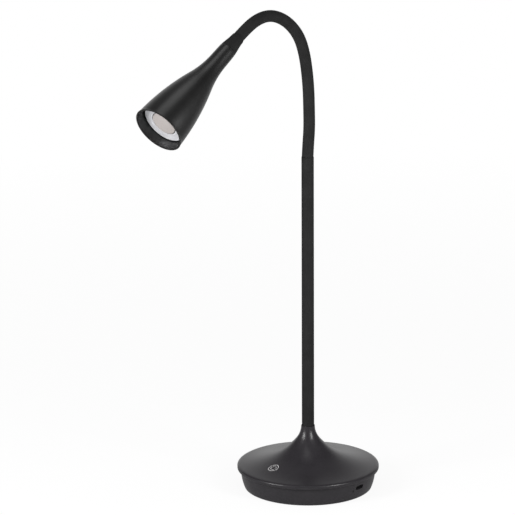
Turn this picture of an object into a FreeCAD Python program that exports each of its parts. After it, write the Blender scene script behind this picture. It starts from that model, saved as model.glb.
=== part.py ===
import FreeCAD, Part
import Sketcher
import math
import os

# Rechargeable gooseneck desk lamp: a round weighted base with a trumpet-shaped cover, a straight
# sleeved post, a flexible neck and a bell-shaped head.
# Millimetres and degrees. +Z is up, the origin is the middle of the base's underside on the table,
# the neck lies in the plane X = 0 and the head reaches toward -Y. The charging socket faces +X.

Vector = FreeCAD.Vector
doc = FreeCAD.newDocument("GooseneckLamp")
sheet = doc.addObject("Spreadsheet::Sheet", "Sizes")

# How many straight runs stand for each round stretch
UPPER_RUNS = 4
MIDDLE_RUNS = 3
LOWER_RUNS = 3
SHADE_RUNS = 4
BOOT_RUNS = 3
# Screw posts, and the first one's turn from +X
POSTS = 3
POST_START = 60.0
# Fins of the heat sink
FINS = 10

# Driving dimensions

DRIVING = [
    # fits
    ("seat_gap", 0.02, "gap between pieces that are seated on each other"),
    ("slip_gap", 0.3, "gap between the flexible sleeve and the links inside it"),
    # foot pad and tray
    ("pad_inset", 3.3, "pad, in from the edge of the flat underside"),
    ("pad_thickness", 1.4, "anti-slip pad"),
    ("pad_stand", 0.3, "how far the pad stands out below the tray"),
    ("tray_overhang", 4.0, "how far the cover's lip stands out over the tray's side"),
    ("tray_break", 0.6, "chamfer between the underside and the side"),
    ("tray_belt", 9.7, "height of the belt where the side bends in, over the underside"),
    ("tray_tuck", 2.6, "how far the side draws in below the belt"),
    ("tray_draft", 0.8, "how much wider the side is at its top than at the belt"),
    ("tray_wall", 2.2, "side wall"),
    ("tray_floor", 2.6, "floor above the pad"),
    # trumpet cover
    ("cover_wall", 1.8, "shell"),
    ("neck_radius", 7.2, "outside of the cover's neck at its top"),
    ("neck_top", 67.5, "height of the neck's top over the table"),
    ("flare_upper", 23.0, "radius of the upper stretch of the flare"),
    ("flare_middle", 62.0, "radius of the middle stretch"),
    ("flare_lower", 143.5, "radius of the lower stretch"),
    ("slope_upper", 52.0, "slope where the upper stretch ends"),
    ("slope_boss", 45.0, "slope over the edge of the stem boss"),
    ("slope_middle", 22.0, "slope where the middle stretch ends"),
    ("slope_lower", 8.0, "slope where the lower stretch ends"),
    ("lip_reach", 3.5, "how far the lip goes on past the flare"),
    ("lip_drop", 1.5, "drop of the lip's rounding"),
    ("lip_edge", 2.7, "upright edge of the lip"),
    ("lip_break", 0.7, "chamfer under the lip"),
    ("boss_drop", 6.0, "height of the stem boss under the shell"),
    # screw posts that join cover and tray
    ("post_inset", 11.1, "middle of the posts, in from the tray's inside"),
    ("post_radius", 3.6, "post"),
    ("post_pilot", 1.3, "pilot hole"),
    ("screw_hole", 1.7, "hole in the tray floor"),
    # ballast
    ("ballast_gap", 5.1, "from the steel disc's edge to the tray's inside"),
    ("ballast_height", 7.0, "steel disc"),
    ("ballast_bore", 13.0, "hole under the stem"),
    ("ballast_post_gap", 1.0, "room around each screw post"),
    ("bay_length", 36.0, "cut-out for the control board, from the disc's edge inward"),
    ("bay_width", 44.0, "cut-out for the control board"),
    # control board, charging socket and charge light
    ("board_length", 30.0, "control board"),
    ("board_width", 26.0, "control board"),
    ("board_thickness", 1.6, "control board"),
    ("board_rise", 6.0, "height of the board over the tray floor"),
    ("board_gap", 0.4, "from the board's corners to the tray's side"),
    ("peg_radius", 2.0, "pegs under the board"),
    ("peg_inset", 3.5, "pegs, from the board's edges"),
    ("socket_width", 8.9, "charging socket shell"),
    ("socket_height", 3.3, "charging socket shell"),
    ("socket_depth", 7.3, "charging socket shell"),
    ("socket_wall", 0.35, "charging socket shell"),
    ("socket_recess", 1.2, "socket mouth behind the tray's side"),
    ("tongue_width", 6.6, "contact tongue"),
    ("tongue_thickness", 0.7, "contact tongue"),
    ("port_width", 11.6, "opening in the tray's side"),
    ("port_height", 5.4, "opening in the tray's side"),
    ("light_radius", 1.1, "charge light"),
    ("light_inset", 3.6, "charge light, in from the side edge of the board"),
    ("light_drop", 2.4, "charge light, below the middle of the socket"),
    # battery
    ("battery_length", 52.0, "battery"),
    ("battery_width", 34.0, "battery"),
    ("battery_height", 7.5, "battery"),
    # touch electrode under the cover
    ("touch_share", 0.69, "middle of the touch mark, as a share of the flare's radius"),
    ("touch_turn", 8.1, "touch mark, turned from the front to the left, in degrees"),
    ("touch_radius", 6.5, "electrode disc"),
    ("touch_thickness", 0.5, "electrode disc"),
    # stem
    ("tube_radius", 5.0, "steel tube"),
    ("tube_bore", 3.8, "steel tube"),
    ("tube_tail", 12.0, "thread of the tube below the boss"),
    ("stem_top", 362.8, "top of the straight stem's sleeve"),
    ("stem_sleeve_radius", 6.5, "soft sleeve on the tube"),
    ("washer_radius", 10.0, "washer under the boss"),
    ("washer_thickness", 1.2, "washer under the boss"),
    ("nut_flats", 15.0, "nut, across its flats"),
    ("nut_height", 4.5, "nut"),
    # flexible neck
    ("link_length", 41.0, "each of the six stretches along the neck's middle line"),
    ("core_radius", 4.65, "wound steel hose"),
    ("core_bore", 2.3, "wound steel hose"),
    ("flex_sleeve_wall", 1.2, "soft sleeve over the hose"),
    ("turn_first", -4.9, "rest bend of stretch 1, toward the head"),
    ("turn_second", 11.8, "rest bend of stretch 2"),
    ("turn_third", 15.1, "rest bend of stretch 3"),
    ("turn_fourth", 31.7, "rest bend of stretch 4"),
    ("turn_fifth", 42.9, "rest bend of stretch 5"),
    ("turn_sixth", 22.9, "rest bend of stretch 6"),
    ("bend_limit", 60.0, "largest swing that the ends of the links leave room for"),
    ("link_gap", 0.3, "gap between the ends of two links on the middle line"),
    ("collar_height", 3.5, "collar of the lower coupling"),
    ("spigot_length", 16.0, "lower coupling inside the tube"),
    ("pin_length", 11.0, "lower coupling's pin inside the hose"),
    ("hose_pin_room", 1.2, "how much shorter the upper pin is than the last straight run"),
    ("lead_bore", 1.4, "way for the leads through the couplings"),
    # boot between the neck and the head
    ("boot_length", 19.5, "boot"),
    ("boot_tail_radius", 6.9, "boot where the neck goes in"),
    ("boot_head_radius", 9.1, "boot where it meets the head"),
    ("boot_hollow", 0.5, "how hollow the boot's flare is, from 0 to 1"),
    ("nipple_radius", 4.5, "head coupling"),
    ("plug_radius", 7.4, "head coupling's shoulder inside the boot"),
    ("plug_length", 5.5, "head coupling's shoulder inside the boot"),
    # bell-shaped head
    ("shade_radius", 9.25, "outside of the neck end"),
    ("shade_neck", 17.3, "length of the nearly straight neck end"),
    ("shade_neck_slope", 1.3, "slope of the neck end"),
    ("shade_hollow", 122.5, "radius of the hollow stretch"),
    ("shade_slope", 16.6, "steepest slope"),
    ("shade_bulge", 305.0, "radius of the bulging stretch"),
    ("shade_mouth_slope", 2.6, "slope at the mouth"),
    ("shade_wall", 1.4, "shell"),
    ("shade_back", 2.6, "closed end of the shell"),
    ("bead_length", 2.6, "bead around the mouth"),
    ("bead_rise", 0.45, "bead around the mouth"),
    ("shade_nut_flats", 12.4, "nut inside the neck end"),
    ("shade_nut_height", 4.0, "nut inside the neck end"),
    # light engine
    ("lens_recess", 9.0, "from the mouth back to the trim ring"),
    ("ring_thickness", 1.6, "silver trim ring"),
    ("ring_bore", 16.8, "silver trim ring"),
    ("lens_thickness", 2.4, "frosted lens"),
    ("reflector_length", 19.0, "from the LED board to the trim ring"),
    ("reflector_wall", 0.9, "reflector tube and its brim"),
    ("led_board_radius", 13.0, "LED board"),
    ("led_board_thickness", 1.2, "LED board"),
    ("led_radius", 5.2, "LED"),
    ("led_height", 0.8, "LED"),
    ("sink_plate", 3.0, "heat sink plate"),
    ("fin_depth", 13.0, "heat sink fins, along the head"),
    ("fin_thickness", 1.2, "heat sink fins"),
    ("fin_reach", 15.0, "heat sink fins, from the axis"),
    ("hub_radius", 5.0, "heat sink hub"),
]

# Sizes that follow from them

DERIVED = [
    # cover: ends of the three arcs of its outside, then the same on its inside
    ("flare_x_upper", "neck_radius + flare_upper * (1 - sin(slope_upper))"),
    ("flare_z_upper", "neck_top - flare_upper * cos(slope_upper)"),
    ("flare_x_middle", "flare_x_upper + flare_middle * (sin(slope_upper) - sin(slope_middle))"),
    ("flare_z_middle", "flare_z_upper - flare_middle * (cos(slope_middle) - cos(slope_upper))"),
    ("flare_x_lower", "flare_x_middle + flare_lower * (sin(slope_middle) - sin(slope_lower))"),
    ("flare_z_lower", "flare_z_middle - flare_lower * (cos(slope_lower) - cos(slope_middle))"),
    ("lip_radius", "flare_x_lower + lip_reach"),
    ("lip_z_side", "flare_z_lower - lip_drop"),
    ("lip_z_under", "lip_z_side - lip_edge"),
    ("lip_under_radius", "lip_radius - lip_break"),
    ("lip_shoulder", "flare_x_lower + lip_reach * 0.7"),
    ("lip_z_shoulder", "flare_z_lower - lip_drop * 0.45"),
    ("lip_bottom", "lip_z_under - lip_break"),
    ("inside_x_lower", "flare_x_lower - cover_wall * sin(slope_lower)"),
    ("inside_z_lower", "flare_z_lower - cover_wall * cos(slope_lower)"),
    ("inside_x_middle", "flare_x_middle - cover_wall * sin(slope_middle)"),
    ("inside_z_middle", "flare_z_middle - cover_wall * cos(slope_middle)"),
    ("boss_radius", "flare_x_upper + flare_middle * (sin(slope_upper) - sin(slope_boss))"
                    " - cover_wall * sin(slope_boss)"),
    ("boss_z_top", "flare_z_upper - flare_middle * (cos(slope_boss) - cos(slope_upper))"
                   " - cover_wall * cos(slope_boss)"),
    ("boss_bottom", "boss_z_top - boss_drop"),
    ("flare_lower_inside", "flare_lower + cover_wall"),
    ("flare_middle_inside", "flare_middle + cover_wall"),
    # tray
    ("tray_bottom", "pad_stand"),
    ("recess_top", "pad_thickness"),
    ("floor_top", "pad_thickness + tray_floor"),
    ("tray_top_radius", "lip_radius - tray_overhang"),
    ("tray_belt_radius", "tray_top_radius - tray_draft"),
    ("tray_side_radius", "tray_belt_radius - tray_tuck"),
    ("tray_flat_radius", "tray_side_radius - tray_break"),
    ("tray_belt_z", "tray_bottom + tray_belt"),
    ("tray_side_z", "tray_bottom + tray_break"),
    ("tray_top", "inside_z_lower - seat_gap"),
    ("tray_inside_top", "tray_top_radius - tray_wall"),
    ("tray_inside_bottom", "tray_side_radius + tray_tuck * (floor_top - tray_side_z)"
                           " / (tray_belt_z - tray_side_z) - tray_wall"),
    ("pad_radius", "tray_flat_radius - pad_inset"),
    ("pad_hole_radius", "pad_radius + seat_gap"),
    ("ballast_radius", "tray_inside_bottom - ballast_gap"),
    ("battery_place", "ballast_radius / 2"),
    ("touch_place", "flare_x_lower * touch_share"),
    # screw posts, up into the shell over them: post_sine is the sine of the shell's slope over a
    # post's outer side, where the shell is lowest
    ("post_ring", "tray_inside_bottom - post_inset"),
    ("post_sine", "sin(slope_lower) + (flare_x_lower - post_ring - post_radius) / flare_lower"),
    ("post_top_z", "flare_z_lower + flare_lower * (cos(slope_lower) - sqrt(1 - post_sine ^ 2))"
                   " - cover_wall * 0.4"),
    ("post_height", "post_top_z - floor_top"),
    ("ballast_post_hole", "post_radius + ballast_post_gap"),
    ("ballast_top", "floor_top + ballast_height"),
    # control board and socket
    ("board_z", "floor_top + board_rise"),
    ("board_top", "board_z + board_thickness"),
    ("socket_z", "board_top + socket_height / 2"),
    ("port_face", "tray_belt_radius + tray_draft * (socket_z - tray_belt_z) / (tray_top - tray_belt_z)"),
    ("socket_mouth", "port_face - socket_recess"),
    ("light_offset", "board_width / 2 - light_inset"),
    ("board_end", "sqrt((tray_inside_bottom - board_gap) ^ 2 - (board_width / 2) ^ 2)"),
    # stem
    ("nut_corner", "nut_flats / sqrt(3)"),
    ("washer_bottom", "boss_bottom - washer_thickness"),
    ("nut_bottom", "washer_bottom - nut_height"),
    ("tube_bottom", "boss_bottom - tube_tail"),
    ("tube_top", "stem_top - collar_height"),
    ("spigot_bottom", "tube_top - spigot_length"),
    ("pin_top", "stem_top + pin_length"),
    ("hose_pin_length", "link_length / 4 - hose_pin_room"),
    # flexible neck
    ("flex_sleeve_bore", "core_radius + slip_gap"),
    ("flex_sleeve_radius", "flex_sleeve_bore + flex_sleeve_wall"),
    # head, along its own axis from the end of the flexible neck
    ("plug_start", "boot_length - plug_length"),
    ("shade_start", "boot_length"),
    ("shade_inside_start", "shade_start + shade_back"),
    ("shade_t_neck", "shade_start + shade_neck"),
    ("shade_r_neck", "shade_radius + shade_neck * tan(shade_neck_slope)"),
    ("shade_t_steep", "shade_t_neck + shade_hollow * (sin(shade_slope) - sin(shade_neck_slope))"),
    ("shade_r_steep", "shade_r_neck + shade_hollow * (cos(shade_neck_slope) - cos(shade_slope))"),
    ("shade_t_bead", "shade_t_steep + shade_bulge * (sin(shade_slope) - sin(shade_mouth_slope))"),
    ("shade_r_bead", "shade_r_steep + shade_bulge * (cos(shade_mouth_slope) - cos(shade_slope))"),
    ("shade_end", "shade_t_bead + bead_length"),
    ("bead_radius", "shade_r_bead + bead_rise"),
    ("cavity_radius", "shade_radius - shade_wall"),
    ("cavity_r_neck", "shade_r_neck - shade_wall"),
    ("cavity_r_steep", "shade_r_steep - shade_wall"),
    ("cavity_r_bead", "shade_r_bead - shade_wall"),
    # the shell's inside at a place t is mid_r + sqrt(bulge^2 - (t - mid_t)^2), less the sag of its
    # straight runs
    ("bulge_sag", "shade_bulge * (1 - cos((shade_slope - shade_mouth_slope) / %d))" % (2 * SHADE_RUNS)),
    ("bulge_mid_t", "shade_t_steep + shade_bulge * sin(shade_slope)"),
    ("bulge_mid_r", "cavity_r_steep - shade_bulge * cos(shade_slope)"),
    ("ring_front", "shade_end - lens_recess"),
    ("ring_rear", "ring_front - ring_thickness"),
    ("ring_radius", "bulge_mid_r + sqrt(shade_bulge ^ 2 - (ring_rear - bulge_mid_t) ^ 2) - bulge_sag - seat_gap"),
    ("lens_rear", "ring_rear"),
    ("lens_front", "lens_rear + lens_thickness"),
    ("lens_radius", "ring_bore - seat_gap"),
    ("reflector_rear", "ring_rear - reflector_length"),
    ("reflector_brim", "ring_rear - reflector_wall"),
    ("reflector_radius", "bulge_mid_r + sqrt(shade_bulge ^ 2 - (reflector_brim - bulge_mid_t) ^ 2)"
                         " - bulge_sag - seat_gap"),
    ("led_board_rear", "reflector_rear - led_board_thickness"),
    ("led_front", "reflector_rear + led_height"),
    ("sink_rear", "led_board_rear - sink_plate"),
    ("sink_radius", "bulge_mid_r + sqrt(shade_bulge ^ 2 - (sink_rear - bulge_mid_t) ^ 2) - bulge_sag - seat_gap"),
    ("reflector_bore", "sink_radius - reflector_wall"),
    ("fin_rear", "sink_rear - fin_depth"),
    ("fin_length", "fin_reach - hub_radius / 2"),
    ("shade_nut_corner", "shade_nut_flats / sqrt(3)"),
    ("shade_nut_end", "shade_inside_start + shade_nut_height"),
    ("nipple_end", "shade_nut_end + 2"),
]


def fill_sheet():
    row = 1
    for name, value, note in DRIVING:
        sheet.set("A%d" % row, note)
        sheet.set("B%d" % row, str(value))
        sheet.setAlias("B%d" % row, name)
        row += 1
    for name, formula in DERIVED:
        sheet.set("B%d" % row, "=" + formula)
        sheet.setAlias("B%d" % row, name)
        row += 1
    doc.recompute()


def size(name):
    """A size from the sheet, or 0 for a point on an axis."""
    if name == 0:
        return 0.0
    return float(sheet.get(name))


def bind(thing, prop, name):
    thing.setExpression(prop, "Sizes." + name)


# Helpers for sketches and bodies

def new_body(name):
    body = doc.addObject("PartDesign::Body", "Body_" + name)
    body.Label = name
    return body


def plane_of(body, role):
    for feature in body.Origin.OriginFeatures:
        if feature.Role == role:
            return feature
    raise ValueError(role)


def new_sketch(body, role, lift=None):
    """A sketch on one of the body's own origin planes, lifted along its normal by a size."""
    sketch = body.newObject("Sketcher::SketchObject", "Sketch")
    sketch.AttachmentSupport = [(plane_of(body, role), "")]
    sketch.MapMode = "FlatFace"
    if lift:
        bind(sketch, "AttachmentOffset.Base.z", lift)
    return sketch


def pin_point(sketch, edge, end, name_x, name_y):
    """Ties one end of an edge to two sizes of the sheet."""
    for kind, name, axis in (("DistanceX", name_x, -2), ("DistanceY", name_y, -1)):
        if name == 0:
            sketch.addConstraint(Sketcher.Constraint("PointOnObject", edge, end, axis))
        else:
            row = sketch.addConstraint(Sketcher.Constraint(kind, -1, 1, edge, end, size(name)))
            bind(sketch, "Constraints[%d]" % row, name)


def outline(sketch, corners):
    """A closed outline. A corner is (x, y) or (x, y, radius, side): the edge that leaves it is then
    an arc of that radius, whose middle lies on the left (1) or the right (-1) of the way on."""
    count = len(corners)
    ends = []
    for i in range(count):
        here = corners[i]
        after = corners[(i + 1) % count]
        start = Vector(size(here[0]), size(here[1]), 0)
        stop = Vector(size(after[0]), size(after[1]), 0)
        if len(here) == 2:
            edge = sketch.addGeometry(Part.LineSegment(start, stop), False)
            ends.append((edge, 1, 2))
            continue
        radius = size(here[2])
        side = here[3]
        chord = stop - start
        left = Vector(-chord.y, chord.x, 0).normalize()
        reach = math.sqrt(max(radius ** 2 - chord.Length ** 2 / 4, 0.0))
        middle = (start + stop) * 0.5 + left * (side * reach)
        first, last = (start, stop) if side > 0 else (stop, start)
        circle = Part.Circle(middle, Vector(0, 0, 1), radius)
        turn = [math.atan2(p.y - middle.y, p.x - middle.x) for p in (first, last)]
        edge = sketch.addGeometry(Part.ArcOfCircle(circle, turn[0], turn[1]), False)
        ends.append((edge, 1, 2) if side > 0 else (edge, 2, 1))
    for i in range(count):
        edge, begin, finish = ends[i]
        after, after_begin, _ = ends[(i + 1) % count]
        sketch.addConstraint(Sketcher.Constraint("Coincident", edge, finish, after, after_begin))
    for i in range(count):
        pin_point(sketch, ends[i][0], ends[i][1], corners[i][0], corners[i][1])
    for i in range(count):
        if len(corners[i]) == 4:
            row = sketch.addConstraint(Sketcher.Constraint("Radius", ends[i][0], size(corners[i][2])))
            bind(sketch, "Constraints[%d]" % row, corners[i][2])


def circle_at(sketch, name_x, name_y, radius):
    middle = Vector(size(name_x), size(name_y), 0)
    edge = sketch.addGeometry(Part.Circle(middle, Vector(0, 0, 1), size(radius)), False)
    if name_x == 0 and name_y == 0:
        sketch.addConstraint(Sketcher.Constraint("Coincident", edge, 3, -1, 1))
    else:
        pin_point(sketch, edge, 3, name_x, name_y)
    row = sketch.addConstraint(Sketcher.Constraint("Radius", edge, size(radius)))
    bind(sketch, "Constraints[%d]" % row, radius)


def feature(body, kind, sketch):
    item = body.newObject("PartDesign::" + kind, kind)
    item.Profile = sketch
    sketch.Visibility = False
    return item


def turned(body, corners):
    """A solid of revolution about Z from a half section in X and Z."""
    sketch = new_sketch(body, "XZ_Plane")
    outline(sketch, corners)
    item = feature(body, "Revolution", sketch)
    item.ReferenceAxis = (sketch, ["V_Axis"])
    item.Angle = 360
    return item


def pad(body, sketch, length):
    item = feature(body, "Pad", sketch)
    bind(item, "Length", length)
    return item


def round_pattern(body, items, count):
    pattern = body.newObject("PartDesign::PolarPattern", "PolarPattern")
    pattern.Originals = items
    axis = [f for f in body.Origin.OriginFeatures if f.Role == "Z_Axis"][0]
    pattern.Axis = (axis, [""])
    pattern.Angle = 360
    pattern.Occurrences = count
    body.Tip = pattern
    return pattern


def ring_at(radius, height):
    """A level circle about Z; its radius and height are expressions on the sheet."""
    ring = doc.addObject("Part::Circle", "Ring")
    ring.setExpression("Radius", radius)
    ring.setExpression("Placement.Base.z", height)
    return ring


def lofted(sections):
    loft = doc.addObject("Part::Loft", "Loft")
    loft.Sections = sections
    loft.Solid = True
    loft.Ruled = True
    return loft


def lathe(rings):
    """A round solid about Z through a list of (radius, height), straight from ring to ring."""
    return lofted([ring_at(radius, height) for radius, height in rings])


def of(name):
    return "Sizes." + name


def arc_rings(radius, slope_from, slope_to, runs, r_start, z_start, r_sign, z_sign):
    """Rings on an arc that leaves (r_start, z_start) at one slope and ends at another, its start left
    out. r grows with the change of the cosine or the sine of the slope, z with the other one."""
    rings = []
    for k in range(1, runs + 1):
        slope = "(%s + (%s - %s) * %d / %d)" % (slope_from, slope_to, slope_from, k, runs)
        change = {"sin": "(sin(%s) - sin(%s))" % (slope, slope_from),
                  "cos": "(cos(%s) - cos(%s))" % (slope, slope_from)}
        rings.append(("%s + %s * %s%s" % (r_start, radius, r_sign[0], change[r_sign[1:]]),
                      "%s + %s * %s%s" % (z_start, radius, z_sign[0], change[z_sign[1:]])))
    return rings


def box(name, label=True):
    item = doc.addObject("Part::Box", name)
    if label:
        item.Label = name
    return item


def place_box(item, length, width, height, x, y, z):
    """A box from its three sizes and its lowest corner, each an expression on the sheet."""
    for prop, text in (("Length", length), ("Width", width), ("Height", height),
                       ("Placement.Base.x", x), ("Placement.Base.y", y), ("Placement.Base.z", z)):
        item.setExpression(prop, text)


def cut(name, base, tool):
    item = doc.addObject("Part::Cut", name)
    item.Base = base
    item.Tool = tool
    item.Label = name
    return item


def fused(name, items):
    item = doc.addObject("Part::MultiFuse", name)
    item.Shapes = items
    return item


def rod(name, radius, low, high):
    """An upright round rod about Z, from one height to another."""
    item = doc.addObject("Part::Cylinder", name)
    item.setExpression("Radius", radius)
    item.setExpression("Height", "%s - %s" % (high, low))
    item.setExpression("Placement.Base.z", low)
    return item


def post_cylinder(index, radius, low, height):
    """A rod on one of the screw posts' places, which are spread evenly about the stem."""
    item = doc.addObject("Part::Cylinder", "Post")
    turn = POST_START + 360.0 * index / POSTS
    bind(item, "Radius", radius)
    item.setExpression("Height", height)
    item.setExpression("Placement.Base.x", "Sizes.post_ring * cos(%g)" % turn)
    item.setExpression("Placement.Base.y", "Sizes.post_ring * sin(%g)" % turn)
    item.setExpression("Placement.Base.z", low)
    return item


# The flexible neck's middle line

TURNS = ["turn_first", "turn_second", "turn_third", "turn_fourth", "turn_fifth", "turn_sixth"]
# Stretches that bend more than this get four straight runs, and the others two
LIGHT_TURN = 20.0


def neck_point(way):
    """Place and lean (from +Z toward -Y, in radians) of the middle line, a way along it."""
    y = 0.0
    z = size("stem_top")
    lean = 0.0
    length = size("link_length")
    for name in TURNS:
        turn = math.radians(size(name))
        share = min(max(way, 0.0), length) / length
        if name == TURNS[0] and way < 0:
            share = way / length
        if name == TURNS[-1] and way > length:
            share = 1.0
        bend = turn * share
        run = length * share
        chord = run if abs(bend) < 1e-9 else run * math.sin(bend / 2) / (bend / 2)
        y -= chord * math.sin(lean + bend / 2)
        z += chord * math.cos(lean + bend / 2)
        lean += bend
        way -= length
        if way <= 0:
            break
    if way > 0:
        y -= way * math.sin(lean)
        z += way * math.cos(lean)
    return Vector(0, y, z), lean


def neck_placement(way):
    """A frame on the middle line whose Z axis points along it."""
    point, lean = neck_point(way)
    return FreeCAD.Placement(point, FreeCAD.Rotation(Vector(1, 0, 0), math.degrees(lean)))


def run_ends():
    """Ways along the neck where one straight run ends and the next begins."""
    length = size("link_length")
    ends = [0.0]
    for i in range(len(TURNS)):
        runs = 2 if abs(size(TURNS[i])) < LIGHT_TURN else 4
        for k in range(1, runs + 1):
            ends.append(length * (i + k / runs))
    return ends


def stations(start, stop):
    """The run ends between two ways along the neck, and the two ways themselves."""
    return [start] + [way for way in run_ends() if start + 0.01 < way < stop - 0.01] + [stop]


def place_on_runs(way):
    """Like neck_placement, but between two run ends it is on the straight line that joins them."""
    ends = run_ends()
    if min(abs(end - way) for end in ends) < 0.01:
        return neck_placement(way)
    low = max(end for end in ends if end < way)
    high = min(end for end in ends if end > way)
    first, lean_first = neck_point(low)
    last, lean_last = neck_point(high)
    point = first + (last - first) * ((way - low) / (high - low))
    lean = math.degrees((lean_first + lean_last) / 2)
    return FreeCAD.Placement(point, FreeCAD.Rotation(Vector(1, 0, 0), lean))


def ring_on_neck(way, radius):
    """A circle square to the middle line; its radius follows the sheet."""
    ring = doc.addObject("Part::Circle", "Ring")
    ring.Placement = place_on_runs(way)
    bind(ring, "Radius", radius)
    return ring


def relief(radius):
    """How far a link's end stays behind its joint at a radius, so that it clears its neighbour."""
    return size("link_gap") / 2 + size(radius) * math.tan(math.radians(size("bend_limit") / 2))


def neck_link(name, index):
    """One stretch of wound hose, bored. It stops short of its joints, where the hose flexes."""
    length = size("link_length")
    start = index * length
    stop = start + length
    if index > 0:
        start += relief("core_radius")
    if index < len(TURNS) - 1:
        stop -= relief("core_radius")
    marks = stations(start, stop)
    hose = lofted([ring_on_neck(way, "core_radius") for way in marks])
    bore = lofted([ring_on_neck(way, "core_bore") for way in marks])
    return cut(name, hose, bore)


def flex_sleeve(name, start, stop):
    """One stretch of the soft sleeve, from the middle of one link to the middle of the next."""
    marks = stations(start, stop)
    skin = lofted([ring_on_neck(way, "flex_sleeve_radius") for way in marks])
    bore = lofted([ring_on_neck(way, "flex_sleeve_bore") for way in marks])
    return cut(name, skin, bore)


# Base

def base_cover():
    """Trumpet-shaped moulded shell with a stem boss and three screw posts."""
    flare = [(of("neck_radius"), of("neck_top"))]
    flare += arc_rings(of("flare_upper"), "90", of("slope_upper"), UPPER_RUNS,
                       of("neck_radius"), of("neck_top"), "-sin", "-cos")
    flare += arc_rings(of("flare_middle"), of("slope_upper"), of("slope_middle"), MIDDLE_RUNS,
                       of("flare_x_upper"), of("flare_z_upper"), "-sin", "-cos")
    flare += arc_rings(of("flare_lower"), of("slope_middle"), of("slope_lower"), LOWER_RUNS,
                       of("flare_x_middle"), of("flare_z_middle"), "-sin", "-cos")
    flare += [(of("lip_shoulder"), of("lip_z_shoulder")), (of("lip_radius"), of("lip_z_side")),
              (of("lip_radius"), of("lip_z_under")), (of("lip_under_radius"), of("lip_bottom"))]
    outside = lathe(flare)
    hollow = [(of("boss_radius"), of("boss_z_top"))]
    hollow += arc_rings(of("flare_middle_inside"), of("slope_boss"), of("slope_middle"), 1,
                        of("boss_radius"), of("boss_z_top"), "-sin", "-cos")
    hollow += arc_rings(of("flare_lower_inside"), of("slope_middle"), of("slope_lower"), LOWER_RUNS,
                        of("inside_x_middle"), of("inside_z_middle"), "-sin", "-cos")
    hollow += [(of("inside_x_lower"), of("lip_bottom"))]
    inside = lathe(hollow)
    shell = cut("cover_shell", outside, inside)
    boss = rod("stem_boss", of("boss_radius"), of("boss_bottom"), of("boss_z_top"))
    posts = [post_cylinder(k, "post_radius", of("floor_top"), of("post_height")) for k in range(POSTS)]
    solid = fused("cover_solid", [shell, boss] + posts)
    bores = [rod("stem_bore", of("tube_radius"), of("boss_bottom"), of("neck_top"))]
    bores += [post_cylinder(k, "post_pilot", of("floor_top"), of("post_height") + " - Sizes.cover_wall")
              for k in range(POSTS)]
    return cut("base_cover", solid, fused("cover_bores", bores))


def base_tray():
    """Dish under the cover, with a recess for the pad, screw holes, board pegs and the port."""
    dish = [(of("tray_flat_radius"), of("tray_bottom")), (of("tray_side_radius"), of("tray_side_z")),
            (of("tray_belt_radius"), of("tray_belt_z")), (of("tray_top_radius"), of("tray_top"))]
    hollow = lathe([(of("tray_inside_bottom"), of("floor_top")), (of("tray_inside_top"), of("tray_top"))])
    recess = rod("pad_recess", of("pad_hole_radius"), of("tray_bottom"), of("recess_top"))
    holes = [post_cylinder(k, "screw_hole", of("recess_top"), of("tray_floor")) for k in range(POSTS)]
    body = cut("tray_body", lathe(dish), fused("tray_hollow", [hollow, recess] + holes))
    port = box("port_opening", False)
    place_box(port, "Sizes.tray_wall * 4", "Sizes.port_width", "Sizes.port_height",
              "Sizes.port_face - Sizes.tray_wall * 2", "-Sizes.port_width / 2",
              "Sizes.socket_z - Sizes.port_height / 2")
    soft = doc.addObject("Part::Fillet", "port_rounded")
    soft.Base = port
    radius = size("port_height") / 2 - 0.05
    soft.Edges = [(i, radius, radius) for i in edges_along(port, Vector(1, 0, 0))]
    light = doc.addObject("Part::Cylinder", "light_hole")
    bind(light, "Radius", "light_radius")
    light.setExpression("Height", "Sizes.tray_wall * 4")
    light.Placement = light_placement(size("port_face") - size("tray_wall") * 2)
    tools = doc.addObject("Part::MultiFuse", "openings")
    tools.Shapes = [soft, light]
    holed = doc.addObject("Part::Cut", "tray_holed")
    holed.Base = body
    holed.Tool = tools
    pegs = []
    for along in ("Sizes.board_end - Sizes.peg_inset",
                  "Sizes.board_end - Sizes.board_length + Sizes.peg_inset"):
        for side in ("", "-"):
            peg = doc.addObject("Part::Cylinder", "peg")
            bind(peg, "Radius", "peg_radius")
            bind(peg, "Height", "board_rise")
            peg.setExpression("Placement.Base.x", along)
            peg.setExpression("Placement.Base.y", side + "(Sizes.board_width / 2 - Sizes.peg_inset)")
            peg.setExpression("Placement.Base.z", "Sizes.floor_top")
            pegs.append(peg)
    tray = doc.addObject("Part::MultiFuse", "base_tray")
    tray.Shapes = [holed] + pegs
    tray.Label = "base_tray"
    return tray


def edges_along(item, way):
    """Numbers of the straight edges of a shape that run along a direction."""
    doc.recompute()
    found = []
    for number, edge in enumerate(item.Shape.Edges, 1):
        run = edge.Vertexes[-1].Point - edge.Vertexes[0].Point
        if run.Length > 0 and run.normalize().cross(way).Length < 1e-6:
            found.append(number)
    return found


def light_placement(reach):
    """Place of the charge light: level, square to the tray's side, beside the socket."""
    turn = math.asin(size("light_offset") / size("port_face"))
    height = size("socket_z") - size("light_drop")
    middle = Vector(reach * math.cos(turn), -reach * math.sin(turn), height)
    tip = FreeCAD.Rotation(Vector(0, 0, 1), -math.degrees(turn))
    return FreeCAD.Placement(middle, tip.multiply(FreeCAD.Rotation(Vector(0, 1, 0), 90)))


def anti_slip_pad():
    body = new_body("anti_slip_pad")
    disc = new_sketch(body, "XY_Plane")
    circle_at(disc, 0, 0, "pad_radius")
    pad(body, disc, "pad_thickness")
    return body


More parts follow.
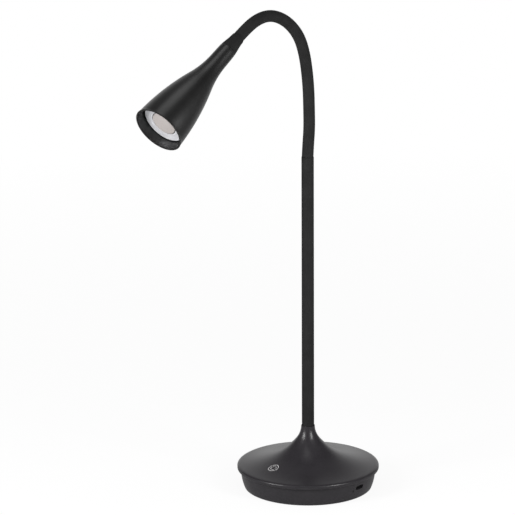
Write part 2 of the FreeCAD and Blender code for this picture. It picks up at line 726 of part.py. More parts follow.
def ballast_plate():
    """Steel disc on the tray floor, open around the stem, the screw posts and the board."""
    disc = rod("ballast_disc", of("ballast_radius"), of("floor_top"), of("ballast_top"))
    holes = [rod("ballast_hole", of("ballast_bore"), of("floor_top"), of("ballast_top"))]
    holes += [post_cylinder(k, "ballast_post_hole", of("floor_top"), of("ballast_height"))
              for k in range(POSTS)]
    bay = box("board_bay", False)
    place_box(bay, "Sizes.bay_length * 2", "Sizes.bay_width", "Sizes.ballast_height",
              "Sizes.ballast_radius - Sizes.bay_length", "-Sizes.bay_width / 2", "Sizes.floor_top")
    return cut("ballast_plate", disc, fused("ballast_cuts", holes + [bay]))


def control_board():
    board = box("control_board")
    place_box(board, "Sizes.board_length", "Sizes.board_width", "Sizes.board_thickness",
              "Sizes.board_end - Sizes.board_length", "-Sizes.board_width / 2", "Sizes.board_z")
    return board


def charging_socket():
    """Pressed metal shell with rounded ends, open toward +X, and the tongue inside it."""
    shell = box("socket_block", False)
    place_box(shell, "Sizes.socket_depth", "Sizes.socket_width", "Sizes.socket_height",
              "Sizes.socket_mouth - Sizes.socket_depth", "-Sizes.socket_width / 2", "Sizes.board_top")
    outside = doc.addObject("Part::Fillet", "socket_outside")
    outside.Base = shell
    round_out = size("socket_height") / 2 - 0.05
    outside.Edges = [(i, round_out, round_out) for i in edges_along(shell, Vector(1, 0, 0))]
    hollow = box("socket_hollow", False)
    place_box(hollow, "Sizes.socket_depth", "Sizes.socket_width - 2 * Sizes.socket_wall",
              "Sizes.socket_height - 2 * Sizes.socket_wall",
              "Sizes.socket_mouth - Sizes.socket_depth + 2 * Sizes.socket_wall",
              "-Sizes.socket_width / 2 + Sizes.socket_wall", "Sizes.board_top + Sizes.socket_wall")
    inside = doc.addObject("Part::Fillet", "socket_inside")
    inside.Base = hollow
    round_in = round_out - size("socket_wall")
    inside.Edges = [(i, round_in, round_in) for i in edges_along(hollow, Vector(1, 0, 0))]
    socket = cut("charging_socket", outside, inside)
    tongue = box("socket_tongue")
    place_box(tongue, "Sizes.socket_depth - 2 * Sizes.socket_wall - 1", "Sizes.tongue_width",
              "Sizes.tongue_thickness", "Sizes.socket_mouth - Sizes.socket_depth + 2 * Sizes.socket_wall",
              "-Sizes.tongue_width / 2", "Sizes.socket_z - Sizes.tongue_thickness / 2")
    return [socket, tongue]


def charge_light():
    """Clear light pipe through the tray's side."""
    light = doc.addObject("Part::Cylinder", "charge_light")
    light.Label = "charge_light"
    light.setExpression("Radius", "Sizes.light_radius - Sizes.seat_gap")
    light.setExpression("Height", "Sizes.tray_wall + 1")
    light.Placement = light_placement(size("port_face") - size("tray_wall") - 1.1)
    return light


def battery():
    block = box("battery_block", False)
    place_box(block, "Sizes.battery_width", "Sizes.battery_length", "Sizes.battery_height",
              "-Sizes.battery_place - Sizes.battery_width / 2", "-Sizes.battery_length / 2",
              "Sizes.ballast_top")
    pack = doc.addObject("Part::Fillet", "battery_pack")
    pack.Base = block
    pack.Label = "battery_pack"
    soft = size("battery_height") * 0.3
    pack.Edges = [(i, soft, soft) for i in edges_along(block, Vector(0, 1, 0))]
    return pack


def touch_electrode():
    """Disc stuck under the cover below the touch mark, square to the shell there."""
    disc = doc.addObject("Part::Cylinder", "touch_electrode")
    disc.Label = "touch_electrode"
    bind(disc, "Radius", "touch_radius")
    bind(disc, "Height", "touch_thickness")
    middle_x = size("flare_x_lower") + size("flare_lower") * math.sin(math.radians(size("slope_lower")))
    middle_z = size("flare_z_lower") + size("flare_lower") * math.cos(math.radians(size("slope_lower")))
    reach = size("touch_place")
    inside = size("flare_lower_inside")
    slope = math.asin((middle_x - reach) / inside)
    # the disc is flat and the shell is hollow, so its rim touches first
    sag = inside - math.sqrt(inside ** 2 - size("touch_radius") ** 2)
    depth = inside + size("touch_thickness") + size("seat_gap") + 3 * sag
    centre = Vector(0, -(middle_x - depth * math.sin(slope)), middle_z - depth * math.cos(slope))
    square = FreeCAD.Placement(centre, FreeCAD.Rotation(Vector(1, 0, 0), math.degrees(slope)))
    turn = FreeCAD.Placement(Vector(), FreeCAD.Rotation(Vector(0, 0, 1), -size("touch_turn")))
    disc.Placement = turn.multiply(square)
    return disc


# Stem

def stem_tube():
    body = new_body("stem_tube")
    turned(body, [
        ("tube_bore", "tube_bottom"),
        ("tube_radius", "tube_bottom"),
        ("tube_radius", "tube_top"),
        ("tube_bore", "tube_top"),
    ])
    return body


def stem_sleeve():
    body = new_body("stem_sleeve")
    turned(body, [
        ("tube_radius", "neck_top"),
        ("stem_sleeve_radius", "neck_top"),
        ("stem_sleeve_radius", "stem_top"),
        ("tube_radius", "stem_top"),
    ])
    return body


def stem_washer():
    body = new_body("stem_washer")
    turned(body, [
        ("tube_radius", "washer_bottom"),
        ("washer_radius", "washer_bottom"),
        ("washer_radius", "boss_bottom"),
        ("tube_radius", "boss_bottom"),
    ])
    return body


def hex_nut(name, corner, bore, height, lift):
    """A hexagon padded up from a lifted plane, with a round bore."""
    body = new_body(name)
    flat = new_sketch(body, "XY_Plane", lift)
    radius = size(corner)
    corners = [Vector(radius * math.cos(math.radians(60 * i)), radius * math.sin(math.radians(60 * i)), 0)
               for i in range(6)]
    for i in range(6):
        flat.addGeometry(Part.LineSegment(corners[i], corners[(i + 1) % 6]), False)
    guide = flat.addGeometry(Part.Circle(Vector(0, 0, 0), Vector(0, 0, 1), radius), True)
    flat.addConstraint(Sketcher.Constraint("Coincident", guide, 3, -1, 1))
    row = flat.addConstraint(Sketcher.Constraint("Radius", guide, radius))
    bind(flat, "Constraints[%d]" % row, corner)
    for i in range(6):
        flat.addConstraint(Sketcher.Constraint("Coincident", i, 2, (i + 1) % 6, 1))
        flat.addConstraint(Sketcher.Constraint("PointOnObject", i, 1, guide))
    for i in range(1, 6):
        flat.addConstraint(Sketcher.Constraint("Equal", 0, i))
    flat.addConstraint(Sketcher.Constraint("PointOnObject", 0, 1, -1))
    circle_at(flat, 0, 0, bore)
    pad(body, flat, height)
    return body


def neck_coupling():
    """Turned plug in the tube's top, with a collar under the sleeve's end and a pin into the hose."""
    body = new_body("neck_coupling")
    turned(body, [
        ("lead_bore", "spigot_bottom"),
        ("tube_bore", "spigot_bottom"),
        ("tube_bore", "tube_top"),
        ("tube_radius", "tube_top"),
        ("tube_radius", "stem_top"),
        ("core_bore", "stem_top"),
        ("core_bore", "pin_top"),
        ("lead_bore", "pin_top"),
    ])
    return body


# Head: modelled along +Z from the end of the flexible neck, then placed there

def head_coupling():
    """Nipple with a shoulder in the boot, screwed into the shell's closed end."""
    body = new_body("head_coupling")
    turned(body, [
        ("lead_bore", 0),
        ("core_radius", 0),
        ("core_radius", "plug_start"),
        ("plug_radius", "plug_start"),
        ("plug_radius", "shade_start"),
        ("nipple_radius", "shade_start"),
        ("nipple_radius", "nipple_end"),
        ("lead_bore", "nipple_end"),
    ])
    return body


def hose_pin():
    """Pin of the head coupling inside the last stretch of hose."""
    body = new_body("hose_pin")
    turned(body, [
        ("lead_bore", 0),
        ("core_bore", 0),
        ("core_bore", "hose_pin_length"),
        ("lead_bore", "hose_pin_length"),
    ])
    return body


def neck_boot():
    """Soft boot that flares from the neck to the head."""
    flare = [(of("boot_tail_radius"), "0")]
    for k in range(1, BOOT_RUNS + 1):
        share = k / BOOT_RUNS
        flare.append(("Sizes.boot_tail_radius + (Sizes.boot_head_radius - Sizes.boot_tail_radius)"
                      " * (%g + Sizes.boot_hollow * %g)" % (share, share * (share - 1)),
                      "Sizes.boot_length * %g" % share))
    way = [rod("boot_bore", of("core_radius"), "0", of("plug_start")),
           rod("boot_socket", of("plug_radius"), of("plug_start"), of("boot_length"))]
    return cut("neck_boot", lathe(flare), fused("boot_ways", way))


def shade():
    """Bell-shaped aluminium shell: neck, hollow stretch, bulging stretch and a bead at the mouth."""
    bell = bell_rings("shade_radius", "shade_start", "shade_r_neck", "shade_r_steep")
    bell += [(of("bead_radius"), "Sizes.shade_t_bead + Sizes.bead_rise"), (of("bead_radius"), of("shade_end"))]
    cavity = bell_rings("cavity_radius", "shade_inside_start", "cavity_r_neck", "cavity_r_steep")
    cavity += [(of("cavity_r_bead"), of("shade_end"))]
    hole = rod("shade_hole", of("nipple_radius"), of("shade_start"), of("shade_inside_start"))
    hollow = cut("shade_shell", lathe(bell), lathe(cavity))
    return cut("shade", hollow, hole)


def bell_rings(r_start, t_start, r_neck, r_steep):
    """Rings down the bell: the neck end, then the hollow and the bulging arc."""
    rings = [(of(r_start), of(t_start)), (of(r_neck), of("shade_t_neck"))]
    rings += arc_rings(of("shade_hollow"), of("shade_neck_slope"), of("shade_slope"), SHADE_RUNS,
                       of(r_neck), of("shade_t_neck"), "-cos", "+sin")
    rings += arc_rings(of("shade_bulge"), of("shade_slope"), of("shade_mouth_slope"), SHADE_RUNS,
                       of(r_steep), of("shade_t_steep"), "+cos", "-sin")
    return rings


def heat_sink():
    """Plate across the shell with a hub and radial fins behind it."""
    body = new_body("heat_sink")
    turned(body, [
        (0, "fin_rear"),
        ("hub_radius", "fin_rear"),
        ("hub_radius", "sink_rear"),
        ("sink_radius", "sink_rear"),
        ("sink_radius", "led_board_rear"),
        (0, "led_board_rear"),
    ])
    fin = new_sketch(body, "XY_Plane", "fin_rear")
    half = size("fin_thickness") / 2
    inner = size("hub_radius") / 2
    outer = size("fin_reach")
    corners = [Vector(inner, -half, 0), Vector(outer, -half, 0), Vector(outer, half, 0), Vector(inner, half, 0)]
    for i in range(4):
        fin.addGeometry(Part.LineSegment(corners[i], corners[(i + 1) % 4]), False)
    for i in range(4):
        fin.addConstraint(Sketcher.Constraint("Coincident", i, 2, (i + 1) % 4, 1))
    for kind, i in (("Horizontal", 0), ("Horizontal", 2), ("Vertical", 3)):
        fin.addConstraint(Sketcher.Constraint(kind, i))
    fin.addConstraint(Sketcher.Constraint("Symmetric", 1, 1, 1, 2, -1))
    row = fin.addConstraint(Sketcher.Constraint("DistanceY", 1, 1, 1, 2, 2 * half))
    bind(fin, "Constraints[%d]" % row, "fin_thickness")
    row = fin.addConstraint(Sketcher.Constraint("DistanceX", 0, 1, 0, 2, outer - inner))
    bind(fin, "Constraints[%d]" % row, "fin_length")
    row = fin.addConstraint(Sketcher.Constraint("DistanceX", -1, 1, 0, 2, outer))
    bind(fin, "Constraints[%d]" % row, "fin_reach")
    blade = pad(body, fin, "fin_depth")
    doc.recompute()
    round_pattern(body, [blade], FINS)
    return body


def led_board():
    body = new_body("led_board")
    disc = new_sketch(body, "XY_Plane", "led_board_rear")
    circle_at(disc, 0, 0, "led_board_radius")
    pad(body, disc, "led_board_thickness")
    return body


def led():
    body = new_body("led")
    disc = new_sketch(body, "XY_Plane", "reflector_rear")
    circle_at(disc, 0, 0, "led_radius")
    pad(body, disc, "led_height")
    return body


def reflector():
    """White tube from the heat sink to the trim ring, with a brim that fits the shell."""
    body = new_body("reflector")
    turned(body, [
        ("reflector_bore", "led_board_rear"),
        ("sink_radius", "led_board_rear"),
        ("sink_radius", "reflector_brim"),
        ("reflector_radius", "reflector_brim"),
        ("reflector_radius", "ring_rear"),
        ("reflector_bore", "ring_rear"),
    ])
    return body


def trim_ring():
    body = new_body("trim_ring")
    turned(body, [
        ("ring_bore", "ring_rear"),
        ("ring_radius", "ring_rear"),
        ("ring_radius", "ring_front"),
        ("ring_bore", "ring_front"),
    ])
    return body


def lens():
    """Frosted lens, set in the trim ring and standing a little out of it."""
    body = new_body("lens")
    turned(body, [
        (0, "lens_rear"),
        ("lens_radius", "lens_rear"),
        ("lens_radius", "lens_front"),
        (0, "lens_front"),
    ])
    return body


# Assembly

fill_sheet()
neck_length = size("link_length") * len(TURNS)
head_place = neck_placement(neck_length)

parts = [base_cover(), base_tray(), anti_slip_pad(), ballast_plate(), control_board()]
parts += charging_socket()
parts += [charge_light(), battery(), touch_electrode(), stem_tube(), stem_sleeve(), stem_washer()]
parts.append(hex_nut("stem_nut", "nut_corner", "tube_radius", "nut_height", "nut_bottom"))
parts.append(neck_coupling())

for number in range(len(TURNS)):
    parts.append(neck_link("neck_link_%d" % (number + 1), number))

joint_count = len(TURNS) - 1
for number in range(joint_count):
    low = 0.0 if number == 0 else (number + 0.5) * size("link_length")
    high = neck_length if number == joint_count - 1 else (number + 1.5) * size("link_length")
    parts.append(flex_sleeve("neck_sleeve_%d" % (number + 1), low, high))

head_parts = [head_coupling(), neck_boot(), shade()]
head_parts.append(hex_nut("shade_nut", "shade_nut_corner", "nipple_radius", "shade_nut_height",
                          "shade_inside_start"))
head_parts += [heat_sink(), led_board(), led(), reflector(), trim_ring(), lens()]
for item in head_parts:
    item.Placement = head_place
parts += head_parts
pin = hose_pin()
pin.Placement = place_on_runs(neck_length - size("hose_pin_length") - size("link_gap"))
parts.append(pin)

doc.recompute()

# Checks and files

for item in doc.Objects:
    if "Invalid" in item.State or "Error" in item.State:
        owners = [parent.Label for parent in item.InList]
        raise RuntimeError("failed: %s %s %s %s" % (item.Name, item.Label, owners, item.State))

total = 0.0
for item in parts:
    shape = item.Shape
    if shape.isNull() or not shape.isValid() or len(shape.Solids) != 1:
        raise RuntimeError("bad shape: %s" % item.Label)
    total += shape.Volume
    print("%-18s %9.1f mm3" % (item.Label, shape.Volume))
print("pieces", len(parts), "volume", round(total))

os.makedirs("parts", exist_ok=True)
for item in parts:
    item.Shape.exportStep("parts/%s.step" % item.Label)
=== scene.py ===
import math

import bpy
from mathutils import Matrix, Vector


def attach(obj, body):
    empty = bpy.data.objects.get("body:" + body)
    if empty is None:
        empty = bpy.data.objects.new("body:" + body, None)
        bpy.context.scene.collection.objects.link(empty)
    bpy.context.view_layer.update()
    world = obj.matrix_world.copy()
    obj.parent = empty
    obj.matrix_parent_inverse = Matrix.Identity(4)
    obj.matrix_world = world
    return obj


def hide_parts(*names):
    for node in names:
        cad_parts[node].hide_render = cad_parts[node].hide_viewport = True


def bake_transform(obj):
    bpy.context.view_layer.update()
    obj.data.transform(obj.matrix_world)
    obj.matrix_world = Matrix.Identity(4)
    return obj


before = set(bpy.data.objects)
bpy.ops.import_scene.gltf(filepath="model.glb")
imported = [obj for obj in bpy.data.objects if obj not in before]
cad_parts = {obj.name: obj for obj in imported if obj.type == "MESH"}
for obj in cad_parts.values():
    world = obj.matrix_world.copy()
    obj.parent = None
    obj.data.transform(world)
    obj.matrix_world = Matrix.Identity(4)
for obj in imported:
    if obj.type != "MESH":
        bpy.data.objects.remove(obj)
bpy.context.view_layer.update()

# Camera
# A long lens from the lamp's front right, a little above, turned and tilted as in the photograph.
# Distances in metres, angles in degrees.
FAR, UP, SIGHT = 6.3, 2.1693, 60
FOCAL_LENGTH = 438.4
SIDE, YAW, PITCH, ROLL = (math.radians(angle) for angle in (39.84, 0.48, 16.921, -0.222))
plain = Vector((-math.sin(SIDE), math.cos(SIDE), 0))
across = Vector((plain.y, -plain.x, 0))
forward = plain * math.cos(YAW) - across * math.sin(YAW)
level = Vector((forward.y, -forward.x, 0))
look = forward * math.cos(PITCH) + Vector((0, 0, -math.sin(PITCH)))
above = level.cross(look)
right = level * math.cos(ROLL) + above * math.sin(ROLL)
top = above * math.cos(ROLL) - level * math.sin(ROLL)
bpy.ops.object.camera_add(location=(FAR * math.sin(SIDE), -FAR * math.cos(SIDE), UP))
camera = bpy.context.active_object
camera.name = "camera"
camera.rotation_mode = "QUATERNION"
camera.rotation_quaternion = Matrix((right, top, -look)).transposed().to_quaternion()
camera.data.lens = FOCAL_LENGTH
camera.data.clip_end = SIGHT
bpy.context.scene.camera = camera


# Anti-slip pad
# A thin disc of black rubber set in a recess under the base. Moulded, with rings in its underside
# that grip the table, and glued in.
MM = 0.001
# corners closer than this, in metres, are merged into one
SAME_PLACE = 0.000001
# a turned disc begins and ends this near its axis, in mm, and the merge closes it
AXIS = 0.0001
# an edge sharper than this stays a crease
CREASE = math.radians(28)


def tone(code):
    """A colour written as sRGB hex, as linear red, green, blue and alpha."""
    parts = [int(code[i:i + 2], 16) / 255 for i in (1, 3, 5)]
    return [p / 12.92 if p <= 0.04045 else ((p + 0.055) / 1.055) ** 2.4 for p in parts] + [1.0]


def add_node(tree, kind, inputs=None, **settings):
    """A shader node with its settings; an input is a value or another node's output."""
    made = tree.nodes.new(kind)
    for name, value in settings.items():
        setattr(made, name, value)
    for name, value in (inputs or {}).items():
        if isinstance(value, bpy.types.NodeSocket):
            tree.links.new(value, made.inputs[name])
        else:
            made.inputs[name].default_value = value
    return made


def new_material(name):
    """An empty material, its node tree and its output."""
    made = bpy.data.materials.new(name)
    made.use_nodes = True
    made.node_tree.nodes.clear()
    return made, made.node_tree, made.node_tree.nodes.new("ShaderNodeOutputMaterial")


def dress(piece, material):
    """Gives a piece one material all over."""
    piece.data.materials.clear()
    piece.data.materials.append(material)


def start_ring(name, radius, height, count):
    """An open ring of edges, sizes in mm, left in edit mode with all of it selected."""
    bpy.ops.object.select_all(action="DESELECT")
    bpy.ops.mesh.primitive_circle_add(vertices=count, radius=radius * MM, location=(0, 0, height * MM))
    piece = bpy.context.active_object
    piece.name = name
    bpy.ops.object.transform_apply(location=True, rotation=True, scale=True)
    bpy.ops.object.mode_set(mode="EDIT")
    bpy.ops.mesh.select_mode(type="VERT")
    bpy.ops.mesh.select_all(action="SELECT")
    return piece


def turn_profile(name, profile, count, closed=False):
    """A turned shape: a ring is extruded and scaled from corner to corner of (radius, height) in mm.
    A closed profile ends on its first corner."""
    radius, height = profile[0]
    piece = start_ring(name, radius, height, count)
    for new_radius, new_height in profile[1:] + ([profile[0]] if closed else []):
        lift = (0, 0, (new_height - height) * MM)
        bpy.ops.mesh.extrude_region_move(TRANSFORM_OT_translate={"value": lift})
        share = new_radius / radius
        bpy.ops.transform.resize(value=(share, share, 1), center_override=(0, 0, new_height * MM))
        radius, height = new_radius, new_height
    bpy.ops.mesh.select_all(action="SELECT")
    bpy.ops.mesh.remove_doubles(threshold=SAME_PLACE)
    bpy.ops.mesh.normals_make_consistent(inside=False)
    bpy.ops.object.mode_set(mode="OBJECT")
    bpy.ops.object.shade_smooth_by_angle(angle=CREASE)
    return piece


# moulded rubber: matte near-black, with a 0.45 mm speckle
rubber, tree, out = new_material("moulded_rubber")
spot = add_node(tree, "ShaderNodeTexCoord")
grain = add_node(tree, "ShaderNodeTexNoise", {
    "Vector": spot.outputs["Object"], "Scale": 2200.0, "Detail": 3.0})
mottle = add_node(tree, "ShaderNodeValToRGB", {"Fac": grain.outputs["Fac"]})
mottle.color_ramp.elements[0].color = tone("#17171a")
mottle.color_ramp.elements[1].color = tone("#232325")
relief = add_node(tree, "ShaderNodeBump", {
    "Strength": 0.5, "Distance": 0.05 * MM, "Height": grain.outputs["Fac"]})
skin = add_node(tree, "ShaderNodeBsdfPrincipled", {
    "Base Color": mottle.outputs["Color"], "Roughness": 0.8, "IOR": 1.52,
    "Normal": relief.outputs["Normal"]})
tree.links.new(skin.outputs["BSDF"], out.inputs["Surface"])

PAD_RADIUS, PAD_TOP, PAD_EDGE = 63.6, 1.39, 0.4
GROOVES, GROOVE_START, GROOVE_PITCH = 7, 4, 8
GROOVE_WIDTH, GROOVE_SLOPE, GROOVE_DEPTH = 2.4, 0.4, 0.5
profile = [(AXIS, PAD_TOP), (PAD_RADIUS, PAD_TOP), (PAD_RADIUS, PAD_EDGE), (PAD_RADIUS - PAD_EDGE, 0.0)]
for groove in range(GROOVES):
    edge = PAD_RADIUS - GROOVE_START - groove * GROOVE_PITCH
    profile += [(edge, 0.0), (edge - GROOVE_SLOPE, GROOVE_DEPTH),
                (edge - GROOVE_WIDTH + GROOVE_SLOPE, GROOVE_DEPTH), (edge - GROOVE_WIDTH, 0.0)]
profile += [(AXIS, 0.0)]
foot_pad = turn_profile("foot_pad", profile, 96)
dress(foot_pad, rubber)
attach(foot_pad, "base")
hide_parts("anti_slip_pad")


# Base tray
# The round dish under the cover, moulded in the same satin ABS. It holds the ballast and the battery;
# its side has the charging opening and a pin hole for the charge light.

# moulded ABS: satin charcoal, with faint 18 mm clouds in the colour and a spark-eroded mould grain,
# drawn at 0.5 mm so that it shows
abs_satin, tree, out = new_material("moulded_abs_satin")
spot = add_node(tree, "ShaderNodeTexCoord")
grain = add_node(tree, "ShaderNodeTexNoise", {
    "Vector": spot.outputs["Object"], "Scale": 2000.0, "Detail": 2.0, "Roughness": 0.6})
cloud = add_node(tree, "ShaderNodeTexNoise", {
    "Vector": spot.outputs["Object"], "Scale": 55.0, "Detail": 3.0, "Roughness": 0.5})
ramp = add_node(tree, "ShaderNodeValToRGB", {"Fac": cloud.outputs["Fac"]})
ramp.color_ramp.elements[0].position = 0.3
ramp.color_ramp.elements[0].color = tone("#272528")
ramp.color_ramp.elements[1].position = 0.7
ramp.color_ramp.elements[1].color = tone("#2b292c")
gloss = add_node(tree, "ShaderNodeMapRange", {
    "Value": grain.outputs["Fac"], "From Min": 0.3, "From Max": 0.7, "To Min": 0.29, "To Max": 0.35})
relief = add_node(tree, "ShaderNodeBump", {
    "Strength": 0.25, "Distance": 0.02 * MM, "Height": grain.outputs["Fac"]})
skin = add_node(tree, "ShaderNodeBsdfPrincipled", {
    "Base Color": ramp.outputs["Color"], "Roughness": gloss.outputs["Result"], "IOR": 1.53,
    "Specular IOR Level": 0.38, "Normal": relief.outputs["Normal"]})
tree.links.new(skin.outputs["BSDF"], out.inputs["Surface"])


def arc(radius, start, slope_from, slope_to, steps, sign_r, sign_z, from_upright):
    """Corners on an arc whose slope goes from one angle to another, its start left out. The slope is
    measured from the upright or from level, and the signs say which way the arc runs."""
    corners = []
    for k in range(1, steps + 1):
        slope = math.radians(slope_from + (slope_to - slope_from) * k / steps)
        first = math.radians(slope_from)
        by_sine = radius * (math.sin(slope) - math.sin(first))
        by_cosine = radius * (math.cos(slope) - math.cos(first))
        dr, dz = (by_cosine, by_sine) if from_upright else (by_sine, by_cosine)
        corners.append((start[0] + sign_r * dr, start[1] + sign_z * dz))
    return corners


def cut_away(piece, cutter):
    """Cuts one piece out of another, and removes the cutter."""
    bpy.context.view_layer.objects.active = piece
    made = piece.modifiers.new("cut", "BOOLEAN")
    made.operation = "DIFFERENCE"
    made.solver = "EXACT"
    made.object = cutter
    bpy.ops.object.modifier_apply(modifier="cut")
    bpy.data.objects.remove(cutter)


RECESS_RADIUS, RECESS_TOP, RECESS_EDGE = 63.72, 1.42, 0.1
TRAY_FLAT, TRAY_BOTTOM, TRAY_TOP, TRAY_WALL = 66.9, 0.3, 23.15, 2.2
TRAY_FLOOR, TRAY_SLANT, NUT_HOLE = 4.0, 2.4, 16
# the side bellies out from a rounded edge and stands upright at 20 mm
EDGE_ROUND, SIDE_BELLY, SIDE_LEAN = 0.6, 50.0, 22.46
profile = [(RECESS_RADIUS, RECESS_TOP), (RECESS_RADIUS, TRAY_BOTTOM + RECESS_EDGE),
           (RECESS_RADIUS + RECESS_EDGE, TRAY_BOTTOM), (TRAY_FLAT, TRAY_BOTTOM)]
profile += arc(EDGE_ROUND, (TRAY_FLAT, TRAY_BOTTOM), 0, 90 - SIDE_LEAN, 4, 1, -1, False)
profile += arc(SIDE_BELLY, profile[-1], SIDE_LEAN, 0, 12, 1, -1, True)
side_top = profile[-1][0]
profile += [(side_top - 0.1, TRAY_TOP), (side_top - TRAY_WALL, TRAY_TOP),
            (side_top - TRAY_WALL - TRAY_SLANT, TRAY_FLOOR), (NUT_HOLE, TRAY_FLOOR), (NUT_HOLE, RECESS_TOP)]
dish = turn_profile("tray_shell", profile, 192, True)

PORT_FACE, PORT_Z, PORT_WIDTH, PORT_HEIGHT, PORT_CORNER = 70.4, 13.25, 11.6, 4.4, 2.15
LIGHT_TURN_BACK, LIGHT_Z, LIGHT_HOLE, CUT_DEPTH = 9.4, 10.85, 1.25, 12.0
bpy.ops.object.select_all(action="DESELECT")
bpy.ops.mesh.primitive_cube_add(
    size=1, location=(PORT_FACE * MM, 0, PORT_Z * MM),
    scale=(CUT_DEPTH * MM, PORT_WIDTH * MM, PORT_HEIGHT * MM))
slot_cutter = bpy.context.active_object
bpy.ops.object.transform_apply(location=True, rotation=True, scale=True)
bpy.ops.object.mode_set(mode="EDIT")
bpy.ops.mesh.select_mode(type="EDGE")
bpy.ops.mesh.select_all(action="DESELECT")
bpy.ops.object.mode_set(mode="OBJECT")
for edge in slot_cutter.data.edges:
    ends = [slot_cutter.data.vertices[i].co for i in edge.vertices]
    edge.select = abs(ends[0].x - ends[1].x) > MM
bpy.ops.object.mode_set(mode="EDIT")
bpy.ops.mesh.bevel(offset=PORT_CORNER * MM, segments=8, affect="EDGES")
bpy.ops.object.mode_set(mode="OBJECT")
cut_away(dish, slot_cutter)
light_turn = -math.asin(LIGHT_TURN_BACK / PORT_FACE)
light_place = (PORT_FACE * MM * math.cos(light_turn), PORT_FACE * MM * math.sin(light_turn), LIGHT_Z * MM)
bpy.ops.mesh.primitive_cylinder_add(
    vertices=24, radius=LIGHT_HOLE * MM, depth=CUT_DEPTH * MM, location=light_place,
    rotation=(0, math.pi / 2, light_turn))
pin_cutter = bpy.context.active_object
bpy.ops.object.transform_apply(location=True, rotation=True, scale=True)
cut_away(dish, pin_cutter)
bpy.ops.object.select_all(action="DESELECT")
dish.select_set(True)
bpy.ops.object.shade_smooth_by_angle(angle=CREASE)
dress(dish, abs_satin)
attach(dish, "base")
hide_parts("base_tray")


# Inner parts
# The ballast disc, circuit board and lithium cell, screwed or glued into the closed base, and the
# tube, nuts, couplings, heat sink and LED further up. They keep their CAD shapes.
def plain_finish(name, dark, light, cell, roughness, metal, rise):
    """A finish between two colours, its grain of a given cell size and rise in mm."""
    made, tree, out = new_material(name)
    spot = add_node(tree, "ShaderNodeTexCoord")
    grain = add_node(tree, "ShaderNodeTexNoise", {
        "Vector": spot.outputs["Object"], "Scale": 1000.0 / cell, "Detail": 3.0})
    ramp = add_node(tree, "ShaderNodeValToRGB", {"Fac": grain.outputs["Fac"]})
    ramp.color_ramp.elements[0].position = 0.3
    ramp.color_ramp.elements[0].color = tone(dark)
    ramp.color_ramp.elements[1].position = 0.7
    ramp.color_ramp.elements[1].color = tone(light)
    relief = add_node(tree, "ShaderNodeBump", {
        "Strength": 0.4, "Distance": rise * MM, "Height": grain.outputs["Fac"]})
    skin = add_node(tree, "ShaderNodeBsdfPrincipled", {
        "Base Color": ramp.outputs["Color"], "Roughness": roughness, "Metallic": metal,
        "Normal": relief.outputs["Normal"]})
    tree.links.new(skin.outputs["BSDF"], out.inputs["Surface"])
    return made


# a bright plated metal, a glossy green board, dark plated and dull black parts, a blue plastic wrap,
# reddish foil, rough cast metal, a white board and a yellow chip
zinc = plain_finish("zinc_plated_steel", "#8d8f92", "#a9abae", 1.2, 0.38, 1.0, 0.02)
board_green = plain_finish("solder_masked_board", "#123a26", "#184a31", 2.0, 0.4, 0.0, 0.02)
nickel = plain_finish("black_nickel_shell", "#4a4a4d", "#5a5a5d", 0.8, 0.4, 1.0, 0.01)
black_nylon = plain_finish("black_nylon", "#101011", "#161617", 0.5, 0.5, 0.0, 0.01)
cell_wrap = plain_finish("cell_shrink_wrap", "#24478c", "#2b54a3", 3.0, 0.35, 0.0, 0.03)
copper_foil = plain_finish("copper_foil", "#b5714a", "#c98458", 1.5, 0.35, 1.0, 0.01)
cast_aluminium = plain_finish("cast_aluminium", "#8f9192", "#a4a6a8", 0.9, 0.5, 1.0, 0.04)
white_board = plain_finish("white_led_board", "#d9d9d4", "#e6e6e2", 1.5, 0.45, 0.0, 0.01)
phosphor = plain_finish("yellow_phosphor", "#d9b21c", "#e6c334", 0.6, 0.5, 0.0, 0.03)
inner_finish = {
    "ballast_plate": zinc, "control_board": board_green, "charging_socket": nickel,
    "socket_tongue": black_nylon, "battery_pack": cell_wrap, "touch_electrode": copper_foil,
    "stem_tube": zinc, "stem_washer": zinc, "stem_nut": zinc, "neck_coupling": zinc,
    "head_coupling": zinc, "hose_pin": zinc, "shade_nut": zinc, "heat_sink": cast_aluminium,
    "led_board": white_board, "led": phosphor}
for node_name, finish in inner_finish.items():
    dress(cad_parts[node_name], finish)


# Charge light
# A moulded acrylic pin behind the small hole beside the charging opening, pressed in from
# inside. Unlit, it is near black: partly its smoked acrylic and partly painted shade for the dark pin hole.
# near-black colour: smoked acrylic, and painted shade for the dark pin hole
acrylic = plain_finish("smoked_acrylic_hole_shade", "#0b0b0c", "#121213", 1.0, 0.2, 0.0, 0.005)
dress(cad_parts["charge_light"], acrylic)


# Trumpet cover
# The cover of the base, moulded in satin ABS: a flare that runs from the stem down to a thin lip
# over the tray. Held by the stem's nut and by screws from below.
NECK_RADIUS, NECK_TOP, NECK_BORE, NECK_EDGE = 7.2, 67.5, 6.6, 0.25
# three arcs run on into each other: their radii, and the slopes in degrees at which they end
THROAT, FLARE, BRIM = 23.0, 62.0, 143.5
THROAT_END, FLARE_END, BRIM_END, FLARE_STEPS = 52, 22, 8, 14
